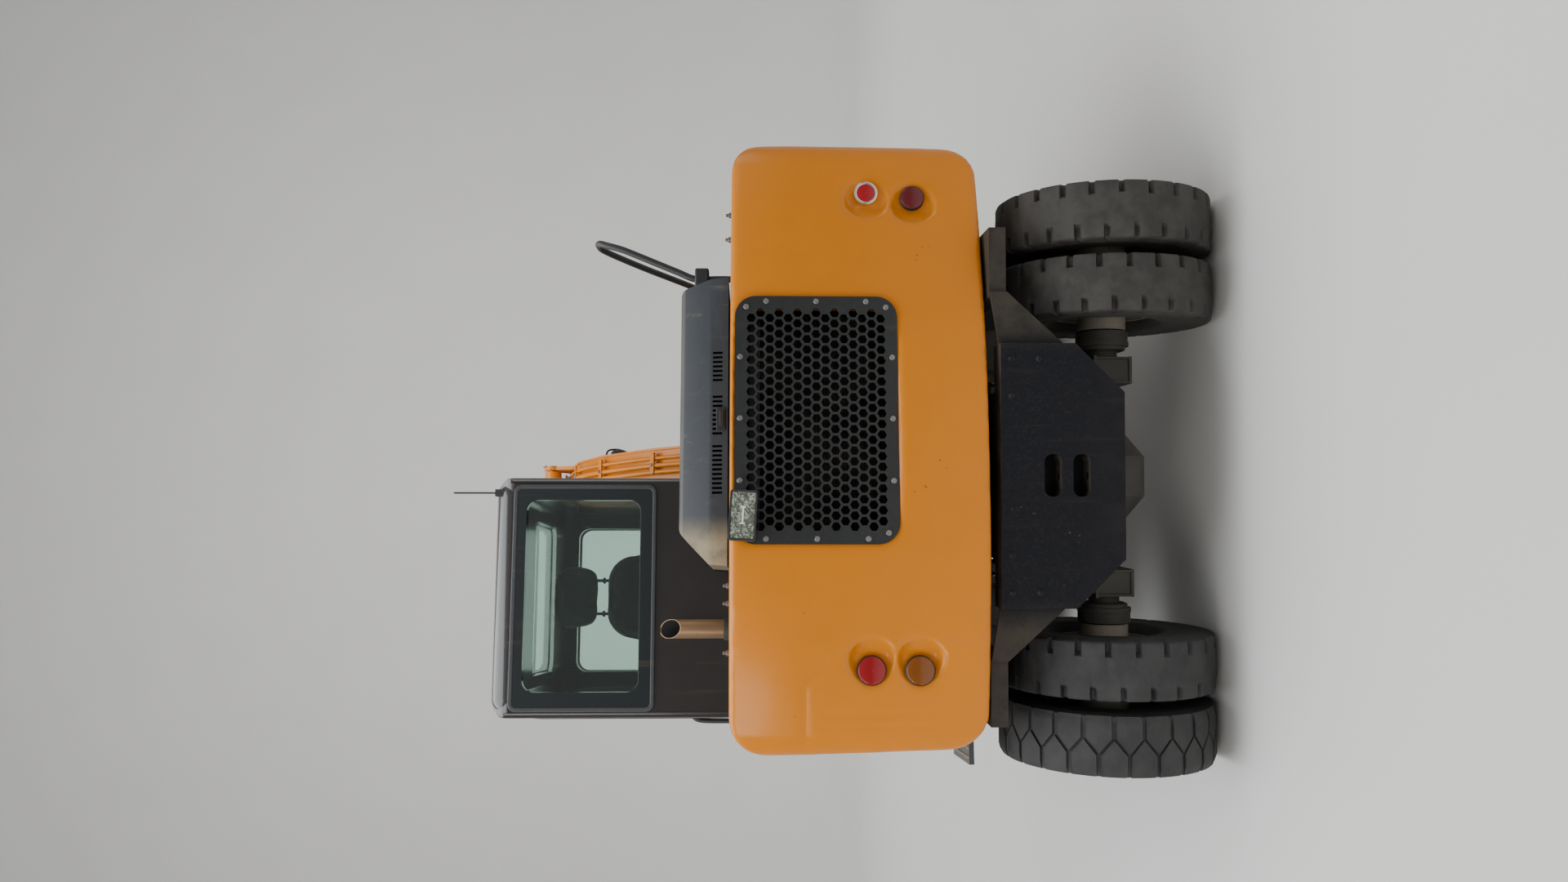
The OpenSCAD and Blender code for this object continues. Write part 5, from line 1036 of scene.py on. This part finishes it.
def pad(name, outline, y0, y1, cap, crown, lean=0.0, voxel=0.007, node=None):
    """A pad from its outline seen from behind, pushed from y0 to y1, then swollen by at most cap."""
    mid_x, mid_z = (sum(c) / len(outline) for c in zip(*outline))
    shrink = 0.7 * cap
    ring = [(x - math.copysign(shrink, x - mid_x), z - math.copysign(shrink, z - mid_z)) for x, z in outline]
    pts, faces = pushed(ring, y1 - y0 - 2 * shrink)
    bm = bmesh.new()
    verts = [bm.verts.new((p.x, y0 + shrink + p.z, p.y)) for p in pts]
    for f in faces:
        bm.faces.new([verts[i] for i in f])
    bmesh.ops.recalc_face_normals(bm, faces=bm.faces)
    rims = [e for e in bm.edges if abs(e.verts[0].co.y - e.verts[1].co.y) < 1e-6]
    bmesh.ops.bevel(bm, geom=rims, offset=crown, segments=5, profile=0.6, affect="EDGES", clamp_overlap=True)
    for v in bm.verts:
        v.co.y += lean * (v.co.z - mid_z)
    mesh = bpy.data.meshes.new(name)
    bm.to_mesh(mesh)
    bm.free()
    mesh.transform(UPPER)
    obj = linked(bpy.data.objects.new(name, mesh))
    celled(obj, voxel)
    obj.data = applied(obj)
    obj.modifiers.clear()
    start = [v.co.copy() for v in obj.data.vertices]
    swell = obj.modifiers.new("swell", "CLOTH")
    swell.settings.use_pressure, swell.settings.uniform_pressure_force = True, PRESSURE
    swell.settings.effector_weights.gravity = 0
    scene = bpy.context.scene
    for f in range(1, CLOTH_FRAMES + 1):
        scene.frame_set(f)
    graph = bpy.context.evaluated_depsgraph_get()
    blown = [v.co.copy() for v in obj.evaluated_get(graph).data.vertices]
    obj.modifiers.clear()
    scene.frame_set(1)
    for v, a, b in zip(obj.data.vertices, start, blown):
        step_by = b - a
        v.co = a + step_by * min(1.0, cap / max(step_by.length, 1e-6))
    outward = [v.normal.copy() for v in obj.data.vertices]
    for v, n in zip(obj.data.vertices, outward):
        p = TO_UPPER @ v.co
        v.co += n * (0.0022 * noise.noise(p * 14) + 0.0012 * noise.noise(p * 38))
    shade(obj.data, 80)
    return dressed(obj, "upper", node, "seat_cloth")


def pad_outline(w_low, w_top, z0, z1, r_low, r_top, n=7):
    """The outline from behind: widths and corner radii below and above, heights over the cab's floor."""
    low, high = FLOOR_Z + z0, FLOOR_Z + z1
    corners = ((w_top / 2 - r_top, high - r_top, r_top, 0), (-w_top / 2 + r_top, high - r_top, r_top, 90),
               (-w_low / 2 + r_low, low + r_low, r_low, 180), (w_low / 2 - r_low, low + r_low, r_low, 270))
    return [(SEAT_X + x + r * cos(a), z + r * sin(a)) for x, z, r, a0 in corners
            for a in [radians(a0 + 90 * i / n) for i in range(n + 1)]]


pad("seat_cushion", pad_outline(0.460, 0.450, 0.392, 0.540, 0.03, 0.05), -0.530, 0.0, 0.014, crown=0.04,
    node="seat")
pad("seat_back", pad_outline(0.430, 0.412, 0.548, 1.157, 0.05, 0.130), -0.532, -0.440, 0.013, lean=-0.085,
    crown=0.034)
pad("seat_headrest", pad_outline(0.280, 0.294, 1.176, 1.385, 0.055, 0.075), -0.547, -0.475, 0.012, lean=-0.06,
    crown=0.030, voxel=0.006)
posts, sleeves = [], []
for x in (SEAT_X - 0.075, SEAT_X + 0.075):
    posts.append(swept([(x, -0.508, FLOOR_Z + 1.12), (x, -0.509, FLOOR_Z + 1.22)], 0.007, 12))
    sleeves.append(turned([(0.014, 0.0), (0.014, 0.008), (0.010, 0.012)], 16,
                          Matrix.Translation((x, -0.508, FLOOR_Z + 1.149))))
piece("seat_posts", joined(posts + sleeves), "dark_plastic")
base = [slab((SEAT_X - 0.200, -0.515, FLOOR_Z + 0.001), (SEAT_X + 0.200, -0.045, FLOOR_Z + 0.24)),
        slab((SEAT_X - 0.185, -0.500, FLOOR_Z + 0.24), (SEAT_X + 0.185, -0.060, FLOOR_Z + 0.385))]
piece("seat_box", joined(base), "dark_plastic", edge=0.008, segments=3)
seam = smooth_path([(SEAT_X + x, y, FLOOR_Z + z) for x, y, z in (
    (-0.195, -0.512, 0.70), (-0.192, -0.535, 0.95), (-0.150, -0.548, 1.07), (0, -0.551, 1.122),
    (0.150, -0.548, 1.07), (0.192, -0.535, 0.95), (0.195, -0.512, 0.70))])
piece("seat_piping", swept(seam, 0.0035, 8), "black_rubber")
print("seat done")

# %% [markdown]
# ## Exhaust
# A thin steel pipe stands in the left corner, cut at a slant so that rain runs off; its mouth looks
# backwards. A tube with its top ring cut by a slanted plane gives the wall its real thickness, and soot
# blackens the inside.

# %% Exhaust pipe
M["burnt_steel"] = weathered("burnt_steel", (0.25, 0.155, 0.085), 0.0012, dict(Metallic=0.5), Tone=0.9,
                             Dust=0.45, Streaks=0.9, Chips=0.8, Mud=0.0, Gloss=0.38,
                             Dust_colour=(0.36, 0.20, 0.07, 1), Chip_colour=(0.12, 0.05, 0.02, 1))
# black soot inside the exhaust; the same black is painted shade in the slots of the door louvres
M["soot_and_shade_black"] = weathered("soot_and_shade_black", (0.004, 0.004, 0.004), 0.001, Tone=0.2, Dust=0.02, Streaks=0.0, Chips=0.0,
                      Mud=0.0, Gloss=0.85)
ROLE["burnt_steel"], ROLE["soot_and_shade_black"] = "bright_steel", "dark_plastic"
TOP_PLATE = 1.9593
ex, ey, slope, lean, sides = -0.741, -1.290, math.tan(radians(49)), radians(8), 48
bend_z, mouth_z, tip_z = 2.05, 2.1983, 2.238


def cut_tube(r, low, drop=0.0):
    """Three rings of points: the foot, a level one, and one on the slanted cut, lower by drop."""
    around = [(r * cos(2 * pi * k / sides), r * sin(2 * pi * k / sides)) for k in range(sides)]
    level = [Vector((ex + dx, ey + dy, z)) for z in (low, bend_z) for dx, dy in around]
    slanted = [Vector((ex + dx, ey + dy, min(tip_z, mouth_z + slope * (dy * cos(lean) - dx * sin(lean)))))
               for dx, dy in around]
    for p in slanted:
        p.z -= drop
    return level + slanted


def walled(outer, inner):
    """A pipe with a wall: both skins, the ring at the mouth and the two floors."""
    n, skin_faces = sides, rings(3, sides)
    faces = skin_faces + [tuple(i + 3 * n for i in f[::-1]) for f in skin_faces]
    faces += [(2 * n + k, 2 * n + (k + 1) % n, 5 * n + (k + 1) % n, 5 * n + k) for k in range(n)]
    return outer + inner, faces + [tuple(range(n))[::-1], tuple(range(3 * n, 4 * n))]


pipe = walled(cut_tube(0.037, TOP_PLATE), cut_tube(0.0352, TOP_PLATE + 0.02))
piece("exhaust_pipe", pipe, "burnt_steel", node="exhaust", angle=40)
lining = walled(cut_tube(0.0351, TOP_PLATE + 0.021, 0.002), cut_tube(0.0342, TOP_PLATE + 0.022, 0.002))
piece("exhaust_soot", lining, "soot_and_shade_black", angle=40)
profile = [(0.037, 0.0), (0.062, 0.0), (0.062, 0.006), (0.044, 0.008), (0.044, 0.030), (0.0372, 0.031)]
collar = [turned(profile, 36, Matrix.Translation((ex, ey, TOP_PLATE)))]
collar += [bolt((ex + 0.052 * cos(a), ey + 0.052 * sin(a), TOP_PLATE + 0.006), (0, 0, 1), 0.006)
           for a in (0.6, 2.2, 3.8, 5.3)]
piece("exhaust_collar", joined(collar), "cast_parts", angle=40)
print("exhaust done")

# %% [markdown]
# ## Hood lip, studs and top details
# The hood sits on a flat lip, and dust gathers there. Lifting studs stand along the rear edge.

# %% Hood lip and studs
HOOD_X = 0.062
lip = slab((HOOD_X - 0.605, -1.462, 1.9595), (HOOD_X + 0.590, -0.895, 1.9665))
piece("hood_lip", lip, "grey_paint", edge=0.002)
stud = [(0.016, 0.0), (0.016, 0.005), (0.012, 0.006), (0.012, 0.018), (0.007, 0.020), (0.007, 0.030),
        (0.004, 0.032)]
studs = [turned(stud, 12, Matrix.Translation((x, y, TOP_PLATE)))
         for x, y in ((-0.83, -1.40), (-0.645, -1.42), (-0.578, -1.43), (0.80, -1.38), (0.93, -1.30))]
piece("top_studs", joined(studs), "worn_steel", angle=40)
latch = [slab((HOOD_X - 0.045, -1.4455, 1.985), (HOOD_X + 0.045, -1.4405, 2.020)),
         slab((HOOD_X - 0.030, -1.452, 1.992), (HOOD_X + 0.030, -1.4445, 2.008))]
piece("hood_latch", joined(latch), "dark_plastic", body_of["hood"], edge=0.002)
print("hood lip, studs and latch done")

# %% [markdown]
# ## Boom trim
# Steel pipes run along the boom's back between its side plates, held by clamps, up to the arm's cylinders.
# A black work lamp hangs at the boom's right side on a bent strap, and a conduit comes down from it.
# The pipes follow the table of stations that shapes the boom, on one smooth curve.

# %% Boom pipes and clamps
stations = [(0.0, 0.0, 0.094), (0.350, 0.275, 0.140), (0.800, 0.540, 0.175), (1.200, 0.680, 0.196),
            (1.500, 0.722, 0.200), (1.950, 0.665, 0.190), (2.600, 0.440, 0.160), (3.200, 0.175, 0.118)]


def back_of_boom(i, x, lift):
    """The point over station i of the boom's back, x to the side and lift above the plate."""
    a, b = stations[max(i - 1, 0)], stations[min(i + 1, len(stations) - 1)]
    along = Vector((0, b[0] - a[0], b[1] - a[1])).normalized()
    middle, up = Vector((x, stations[i][0], stations[i][1])), Vector((0, -along.z, along.y))
    return middle + (stations[i][2] + lift) * up


def boom_piece(name, shape, mat, **more):
    return piece(name, shape, mat, body_of["boom"], BOOM, **more)


LANES, FIRST, LAST, PIPE_LIFT, CLAMP_LIFT = (-0.050, -0.012, 0.030), 1, 5, 0.006, 0.012
for k, x in enumerate(LANES):
    line = smooth_path([back_of_boom(i, x, PIPE_LIFT) for i in range(FIRST, LAST + 1)])
    boom_piece("boom_pipe_%d" % k, swept(line, 0.013 if k < 2 else 0.010, 12), "orange_paint", angle=60)
clamps, bolts = [], []
for i in range(FIRST, LAST + 1):
    near = min(i, LAST - 1)
    along = back_of_boom(near + 1, 0, CLAMP_LIFT) - back_of_boom(near, 0, CLAMP_LIFT)
    at = facing_to(back_of_boom(i, 0, CLAMP_LIFT), Vector((0, -along.z, along.y)), QUARTER)
    clamps.append(pushed(round_box(0.034, 0.124, 0.006), 0.014, at @ Matrix.Translation((0, 0, -0.004))))
    bolts.append(bolt(at @ Vector((0.0, 0.010, 0.010)), at.to_3x3() @ Vector((0, 0, 1)), 0.008))
boom_piece("boom_pipe_clamps", joined(clamps), "orange_paint", edge=0.003)
boom_piece("boom_clamp_bolts", joined(bolts), "worn_steel", angle=40)
fittings = []
for x in LANES:
    for i, inward in ((LAST, LAST - 1), (FIRST, FIRST + 1)):
        end, before = back_of_boom(i, x, PIPE_LIFT), back_of_boom(inward, x, PIPE_LIFT)
        fittings.append(turned([(0.018, -0.012), (0.021, -0.010), (0.021, 0.016), (0.017, 0.019),
                                (0.015, 0.034)], 6, facing_to(end, (end - before).normalized())))
boom_piece("boom_pipe_fittings", joined(fittings), "bright_steel", angle=40)
print("boom pipes:", len(LANES), "clamps:", len(clamps))

# %% Boom lamp with its strap and conduit
lamp_at = Matrix.Translation((0.128, 1.350, 0.705)) @ Matrix.Rotation(-boom_tilt, 4, "X")
flattened = lamp_at @ (Matrix.Rotation(-QUARTER, 4, "X") @ Matrix.Scale(0.55, 4, (1, 0, 0)))
shell = [(0.020, -0.050), (0.040, -0.046), (0.052, -0.030), (0.056, 0.0), (0.057, 0.020), (0.053, 0.024),
         (0.050, 0.018)]
boom_piece("boom_lamp_shell", turned(shell, 32, flattened), "dark_plastic", angle=40)
lens = [(0.051, 0.010), (0.049, 0.020), (0.030, 0.025), (0.002, 0.026)]
boom_piece("boom_lamp_lens", turned(lens, 32, flattened), "lamp_prism", angle=50)
strap = smooth_path([(0.089, 1.330, 0.770), (0.105, 1.332, 0.790), (0.128, 1.340, 0.792),
                     (0.150, 1.345, 0.775), (0.158, 1.350, 0.735), (0.158, 1.352, 0.700)])
boom_piece("boom_lamp_strap", swept(strap, 0.006, 8), "dark_plastic", angle=60)
conduit = smooth_path([(0.128, 1.31, 0.655), (0.120, 1.27, 0.610), (0.102, 1.20, 0.560), (0.096, 1.05, 0.480),
                       (0.096, 0.85, 0.380), (0.096, 0.60, 0.235), (0.096, 0.40, 0.110)])
boom_piece("boom_lamp_conduit", swept(conduit, 0.0045, 8), "black_rubber", angle=60)
print("boom lamp done")

# %% [markdown]
# ## Fastened trim
# Bolts, caps and latches lie on the solids that carry them. A ray is shot at the CAD mesh from outside, and
# the trim is set where it hits, square to the surface there, so that nothing floats or sinks in.

# %% Helper: the point of a CAD node under a ray
trees = {}


def skin(node, start, way, place=UPPER):
    """Where a ray meets a CAD node, and the surface's direction there, both in place's frame."""
    if node not in trees:
        data = frame["nodes"][node].data
        trees[node] = BVHTree.FromPolygons([v.co.copy() for v in data.vertices],
                                           [tuple(p.vertices) for p in data.polygons])
    toward = (place.to_3x3() @ Vector(way)).normalized()
    hit, normal = trees[node].ray_cast(place @ Vector(start), toward)[:2]
    if hit is None:
        return None, None
    back = place.inverted()
    return back @ hit, back.to_3x3() @ (normal if normal.dot(toward) < 0 else -normal)


def row_of_bolts(node, starts, way, size=0.009, place=UPPER):
    made = []
    for k, start in enumerate(starts):
        hit, normal = skin(node, start, way, place)
        if hit is not None:
            made.append(bolt(hit, normal, size, 0.7 * k))
    return made


# %% [markdown]
# ## Side doors
# The engine breathes through pressed louvres in its side doors. Each louvre is a small lip over its slot, and the
# slot is a thin black sheet of painted shade where the dark opening is.
# A black paddle latch sits in a dished cup at the free edge.

# %% Louvres and latches
DOOR_X, ROWS, ROW_PITCH = 1.120, 9, 0.036


def louvre(x, y0, y1, z, side):
    lip = [(0.0, 0.0), (0.003, 0.001), (0.010, -0.006), (0.013, -0.013), (0.013, -0.016), (0.010, -0.013),
           (0.004, -0.004), (0.0, -0.003)]
    pts = [Vector((x + side * e, y, z + h)) for y in (y0, y1) for e, h in lip]
    return pts, lids(2, len(lip)) + rings(2, len(lip))


for side, name, spans in ((1, "right", ((-1.060, -0.850), (-0.800, -0.590))),
                          (-1, "left", ((-1.105, -0.935),))):
    x = side * DOOR_X
    rows = [1.78 - ROW_PITCH * k for k in range(ROWS)]
    lips = [louvre(x, y0, y1, z, side) for y0, y1 in spans for z in rows]
    x0, x1 = sorted((x - side * 0.0005, x + side * 0.0012))
    # under each lip a thin black sheet stands for the slot's dark opening: painted shade
    slot_shades = [slab((x0, y0 + 0.004, z - 0.016), (x1, y1 - 0.004, z - 0.001)) for y0, y1 in spans for z in rows]
    body = body_of["side_door_" + name]
    piece("side_door_louvres_" + name, joined(lips), "orange_paint", body, edge=0.001, angle=25)
    piece("side_door_slot_shades_" + name, joined(slot_shades), "soot_and_shade_black", body)
    free_y = -1.085 if side > 0 else -1.095
    out = facing_to((x, free_y, 1.36), (side, 0, 0))
    cup = [ringed(round_box(0.060, 0.104, 0.012), round_box(0.046, 0.090, 0.008), 0.005, out),
           pushed(round_box(0.050, 0.094, 0.008), 0.0016, out)]
    piece("side_door_latch_cup_" + name, joined(cup), "dark_plastic", body, edge=0.0012)
    paddle = [pushed(round_box(0.040, 0.056, 0.008), 0.010, out @ Matrix.Translation((0, 0.012, 0.0012))),
              turned([(0.010, 0.001), (0.010, 0.008), (0.008, 0.009), (0.002, 0.0085)], 20,
                     out @ Matrix.Translation((0, -0.032, 0)))]
    piece("side_door_latch_" + name, joined(paddle), "dark_plastic", body, edge=0.002)
print("louvres and latches done")

# %% [markdown]
# ## Tank box
# The tank has a filler cap with grips, a rough mat to stand on, and a lid with two latches over the tool box.

# %% Filler cap, mats and tool box lid
TANK_TOP, CAP_X, CAP_Y, CAP_R, GRIPS = 1.760, 0.468, -0.060, 0.0615, 18
grips = []
for a in [2 * pi * k / GRIPS for k in range(GRIPS)]:
    rib = Matrix.Translation((CAP_X + CAP_R * cos(a), CAP_Y + CAP_R * sin(a), 1.767))
    grips.append(pushed([(-0.004, -0.003), (0.004, -0.003), (0.004, 0.003), (-0.004, 0.003)], 0.026,
                        rib @ Matrix.Rotation(a, 4, "Z")))
cap = turned([(0.0635, 0.0), (0.0635, 0.006), (CAP_R, 0.008), (CAP_R, 0.036), (0.057, 0.041), (0.030, 0.0425),
              (0.002, 0.043)], 48, Matrix.Translation((CAP_X, CAP_Y, TANK_TOP)))
piece("tank_filler_cap", joined([cap] + grips), "dark_plastic", angle=35)
mats = [pushed(round_box(0.430, 0.560, 0.030), 0.0035, Matrix.Translation((0.830, 0.045, TANK_TOP))),
        pushed(round_box(0.190, 0.300, 0.025), 0.0035, Matrix.Translation((0.470, 0.190, TANK_TOP)))]
piece("tank_mats", joined(mats), "grit_mat", edge=0.001)
lid = pushed(round_box(0.740, 0.245, 0.022), 0.010, Matrix.Translation((0.716, 0.556, 1.440)))
piece("tool_box_lid", lid, "orange_paint", edge=0.003, segments=3)
catches = []
for x in (0.48, 0.95):
    catches += [slab((x - 0.022, 0.640, 1.449), (x + 0.022, 0.672, 1.456)),
                slab((x - 0.014, 0.655, 1.455), (x + 0.014, 0.682, 1.462))]
piece("tool_box_catches", joined(catches), "dark_plastic", edge=0.0015)
print("tank trim done")

# %% [markdown]
# ## Handrail
# The rail is one bent tube. Its CAD solid has straight stretches, so the tube is made again along a smooth
# curve through the same points, with a welded foot at each end and the small box that it carries.

# %% Rail, feet and box
rail = [(0.878, -0.560, 1.9595), (0.878, -0.560, 2.050), (0.878, -0.560, 2.150), (0.913, -0.560, 2.238),
        (0.985, -0.560, 2.412), (1.020, -0.560, 2.500), (1.045, -0.545, 2.575), (1.062, -0.515, 2.610),
        (1.067, -0.465, 2.621), (1.057, -0.405, 2.592), (1.022, -0.263, 2.426), (0.980, -0.050, 2.178),
        (0.940, 0.106, 2.007), (0.898, 0.262, 1.835), (0.890, 0.290, 1.800), (0.890, 0.290, 1.7605)]
piece("handrail_tube", swept(smooth_path(rail), 0.0158, 18), "dark_plastic", node="handrail", angle=60)
feet = [turned([(0.034, 0.0), (0.034, 0.005), (0.032, 0.007), (0.018, 0.008), (0.0165, 0.014)], 24,
               Matrix.Translation(p)) for p in ((0.878, -0.560, 1.9592), (0.890, 0.290, 1.7602))]
piece("handrail_feet", joined(feet), "dark_plastic", angle=40)
piece("handrail_box", slab((0.833, -0.599, 2.086), (0.923, -0.521, 2.152)), "dark_plastic", edge=0.010,
      segments=4)
print("handrail done")

# %% [markdown]
# ## Front and roof glass, wiper
# The front and roof windows have the same rubber as the sides. The wiper rests upright at the front pane's
# edge.

# %% Seals and wiper
FRONT = Matrix.Translation((0, cab_f, 0)) @ Matrix.Rotation(pi, 4, "Z") @ Matrix.Rotation(QUARTER, 4, "X")
TOP = Matrix.Translation((0, 0, cab_t))
seal("front_window_seal", FRONT, 0.610, 2.300, 0.790, 1.100, 0.060)
seal("foot_window_seal", FRONT, 0.610, 1.585, 0.790, 0.230, 0.060)
seal("roof_window_seal", TOP, -0.610, 0.250, 0.760, 0.680, 0.060)
wiper = [turned([(0.024, 0.0), (0.024, 0.012), (0.018, 0.018), (0.004, 0.020)], 24,
                FRONT @ Matrix.Translation((0.310, 1.730, 0))),
         slab((0.303, 1.730, 0.014), (0.317, 2.180, 0.019), FRONT),
         slab((0.305, 1.900, 0.006), (0.315, 2.480, 0.014), FRONT)]
piece("front_wiper", joined(wiper), "dark_plastic", edge=0.0012)
print("front and roof trim done")

# %% [markdown]
# ## Pins and bolts
# Each pin of the boom, arm and bucket ends in a flat cap, with a small keeper plate and one bolt on the ear
# beside it where a ray finds that ear. Bolts also hold the top covers, the blade's cutting edge and the end box.

# %% Pin caps and keepers
def pin_ends(name, at, nodes, size, place=UPPER):
    """Both ends of a pin: rays find the outermost of the nodes, and the cap rides with that one."""
    for side in (-1, 1):
        best = None
        for node in nodes:
            hit, normal = skin(node, (at[0] + side * 0.9, at[1] + 0.004, at[2] + 0.003), (-side, 0, 0), place)
            if hit is not None and (best is None or side * hit.x > side * best[0].x):
                best = (hit, node)
        if best is None:
            continue
        x, body = best[0].x, body_of[best[1]]
        face = facing_to((x, at[1], at[2]), (side, 0, 0))
        shapes = [turned([(size, -0.001), (size, 0.006), (size * 0.88, 0.008), (size * 0.4, 0.009),
                          (0.002, 0.009)], 28, face)]
        bolt_up = size + 0.022
        if skin(best[1], (at[0] + side * 0.9, at[1], at[2] + bolt_up), (-side, 0, 0), place)[0] is not None:
            shapes.append(pushed(round_box(0.024, 0.050, 0.004), 0.005,
                                 face @ Matrix.Translation((0, size + 0.014, 0))))
            shapes.append(bolt(face @ Vector((0, bolt_up, 0.005)), (side, 0, 0), 0.006))
        piece("pin_%s_%s" % (name, "right" if side > 0 else "left"), joined(shapes), "cast_parts", body,
              place, angle=40)


pins = [("boom_foot", "boom_lift", ("deck",), 0.034),
        ("boom_cylinder_foot", "boom_barrel_turn", ("deck",), 0.028),
        ("arm", "arm_fold", ("boom", "arm"), 0.034),
        ("arm_cylinder_foot", "arm_barrel_turn", ("boom",), 0.026),
        ("bucket", "bucket_curl", ("bucket",), 0.026),
        ("bucket_cylinder_foot", "bucket_barrel_turn", ("arm",), 0.022),
        ("rocker", "rocker_turn", ("rocker",), 0.022),
        ("link", "link_turn", ("rocker", "link"), 0.020)]
for name, joint, nodes, size in pins:
    pin_ends(name, tuple(local(joint)), nodes, size)
along_boom = UPPER @ Matrix.Translation((0, boom_foot.y, boom_foot.z)) @ Matrix.Rotation(boom_tilt, 4, "X")
pin_ends("boom_cylinder_eye", (0.150, 1.450, 0.365), ("boom",), 0.028, along_boom)
blade_pin = joints["blade_lift"]["pos_m"]
pin_ends("blade", (0.0, blade_pin[1] - pivot.y, blade_pin[2]), ("blade",), 0.024, CHASSIS)
print("pins done")

# %% Cover bolts, blade edge and end box bolts
corners = ((0.72, -0.42), (0.72, -0.62), (1.06, -0.42), (1.06, -1.05), (0.72, -1.05), (-0.62, -0.93),
           (-1.05, -0.93))
cover = row_of_bolts("house", [(x, y, 2.6) for x, y in corners], (0, 0, -1), 0.008)
piece("cover_bolts", joined(cover), "worn_steel", angle=40)
edge_rows = []
for k in range(9):
    edge_rows += row_of_bolts("blade", [(-0.98 + 0.245 * k, 3.2, 0.262)], (0, -1, 0), 0.013, CHASSIS)
piece("blade_edge_bolts", joined(edge_rows), "worn_steel", body_of["blade"], CHASSIS, angle=40)
starts = [(side * x, -2.4, z) for side in (-1, 1) for x, z in ((0.44, 0.905), (0.44, 0.80), (0.30, 0.905))]
box_bolts = row_of_bolts("end_box", starts, (0, 1, 0), 0.010, CHASSIS)
piece("end_box_bolts", joined(box_bolts), "chassis_paint", body_of["end_box"], CHASSIS, angle=40)
print("bolts:", len(cover), len(edge_rows), len(box_bolts))

# %% [markdown]
# ## Rear axle ends
# Beside each twin wheel the real axle has a bolted flange, and a ribbed steel box that clamps it to the
# frame.

# %% Axle flanges and clamp boxes
axle_y, axle_z = -1.150, TR
flange = [(0.080, -0.030), (0.094, -0.024), (0.094, -0.012), (0.108, -0.010), (0.108, 0.008), (0.100, 0.010),
          (0.080, 0.010)]
flanges, clamps_made = [], []
for side in (-1, 1):
    out = facing_to((side * 0.545, axle_y, axle_z), (side, 0, 0))
    flanges.append(turned(flange, 40, out))
    flanges += [bolt(out @ Vector((0.094 * cos(a), 0.094 * sin(a), 0.008)), (side, 0, 0), 0.008, a)
                for a in [2 * pi * k / 10 for k in range(10)]]
    x0, x1 = sorted((side * 0.385, side * 0.480))
    blocks = [(x0, x1, 0.086, -0.085, 0.050), (x0 - 0.012, x1 + 0.012, 0.100, 0.050, 0.062),
              (x0 - 0.008, x1 + 0.008, 0.092, -0.097, -0.085)]
    blocks += [(x, x + 0.008, 0.098, -0.085, 0.050) for x in (x0 - 0.006, x1 - 0.002)]
    clamps_made += [slab((a, axle_y - half, axle_z + low), (b, axle_y + half, axle_z + top))
                    for a, b, half, low, top in blocks]
    clamps_made += [bolt((x, axle_y - 0.093, axle_z + 0.062), (0, 0, 1), 0.008)
                    for x in (x0 + 0.012, x1 - 0.012)]
piece("axle_flanges", joined(flanges), "cast_parts", body_of["axle_rear"], CHASSIS, angle=40)
piece("axle_clamp_boxes", joined(clamps_made), "cast_parts", body_of["axle_rear"], CHASSIS, edge=0.002)
print("axle ends done")

# %% [markdown]
# ## Cylinders
# A cylinder's barrel ends in a thicker gland with a wiper ring, where the polished rod goes in, and an oil
# pipe runs along it from end to end. The slide joint gives each cylinder's line, and rays give the radii of
# barrel and rod.

# %% Glands and oil pipes
def gland(name, across, pipe=True):
    """One cylinder's gland and oil pipe, in a frame at the barrel's foot with z along the rod."""
    barrel, rod = name + "_barrel", name + "_rod"
    z = Vector(joints[rod + "_slide"]["axis"]).normalized()
    foot = Vector(joints[barrel + "_turn"]["pos_m"])
    end = max((v.co - foot).dot(z) for v in frame["nodes"][barrel].data.vertices)
    at = framed(foot, (across - z * across.dot(z)).normalized(), z)

    def radius(node, h):
        hit = skin(node, (0.0, 0.4, h), (0, -1, 0), at)[0]
        return None if hit is None else math.hypot(hit.x, hit.y)

    wide, thin = radius(barrel, end - 0.03), radius(rod, end + 0.05)
    if wide is None or thin is None:
        print(name, "no radius", wide, thin)
        return
    ring = [(wide - 0.002, end - 0.055), (wide + 0.005, end - 0.053), (wide + 0.006, end - 0.004),
            (wide + 0.002, end + 0.002), (thin + 0.006, end + 0.003), (thin + 0.0016, end + 0.001),
            (thin + 0.0016, end - 0.008)]
    piece("gland_" + name, turned(ring, 48, at, hoop=True), "grey_paint", body_of[barrel], Matrix(), angle=35)
    if pipe:
        low, r = wide - 0.002, wide + 0.011
        bends = [(low, 0.10), (r, 0.105), (r, 0.13), (r, end - 0.10), (r, end - 0.075), (low, end - 0.07)]
        path = [at @ Vector((0, y, h)) for y, h in bends]
        ends = [turned([(0.013, 0.0), (0.013, 0.020), (0.010, 0.022)], 6,
                       at @ facing_to((0, wide - 0.003, h), (0, 1, 0))) for h in (0.112, end - 0.082)]
        shape = joined([swept(path, 0.007, 10)] + ends)
        piece("oil_pipe_" + name, shape, "bright_steel", body_of[barrel], Matrix(), angle=50)
    print(name, "barrel", round(wide, 3), "rod", round(thin, 3), "length", round(end, 3))


for name in ("boom", "arm", "bucket"):
    gland(name, UPPER.to_3x3() @ Vector((1, 0, 0)))
gland("blade", Vector((1, 0, 0)), pipe=False)

# %% [markdown]
# ## Step
# The side step has rows of punched dimples for grip.

# %% Step dimples
DIMPLE_PITCH = 0.038
dimple = [(0.013, -0.0005), (0.012, 0.001), (0.009, 0.0026), (0.005, 0.0026), (0.004, 0.001)]
places = [(-1.255 + DIMPLE_PITCH * i, -1.108 + DIMPLE_PITCH * j, 1.014) for i in range(4) for j in range(9)]
dimples = [turned(dimple, 16, Matrix.Translation(p)) for p in places]
piece("side_step_dimples", joined(dimples), "worn_steel", angle=40)
print("step dimples:", len(dimples))
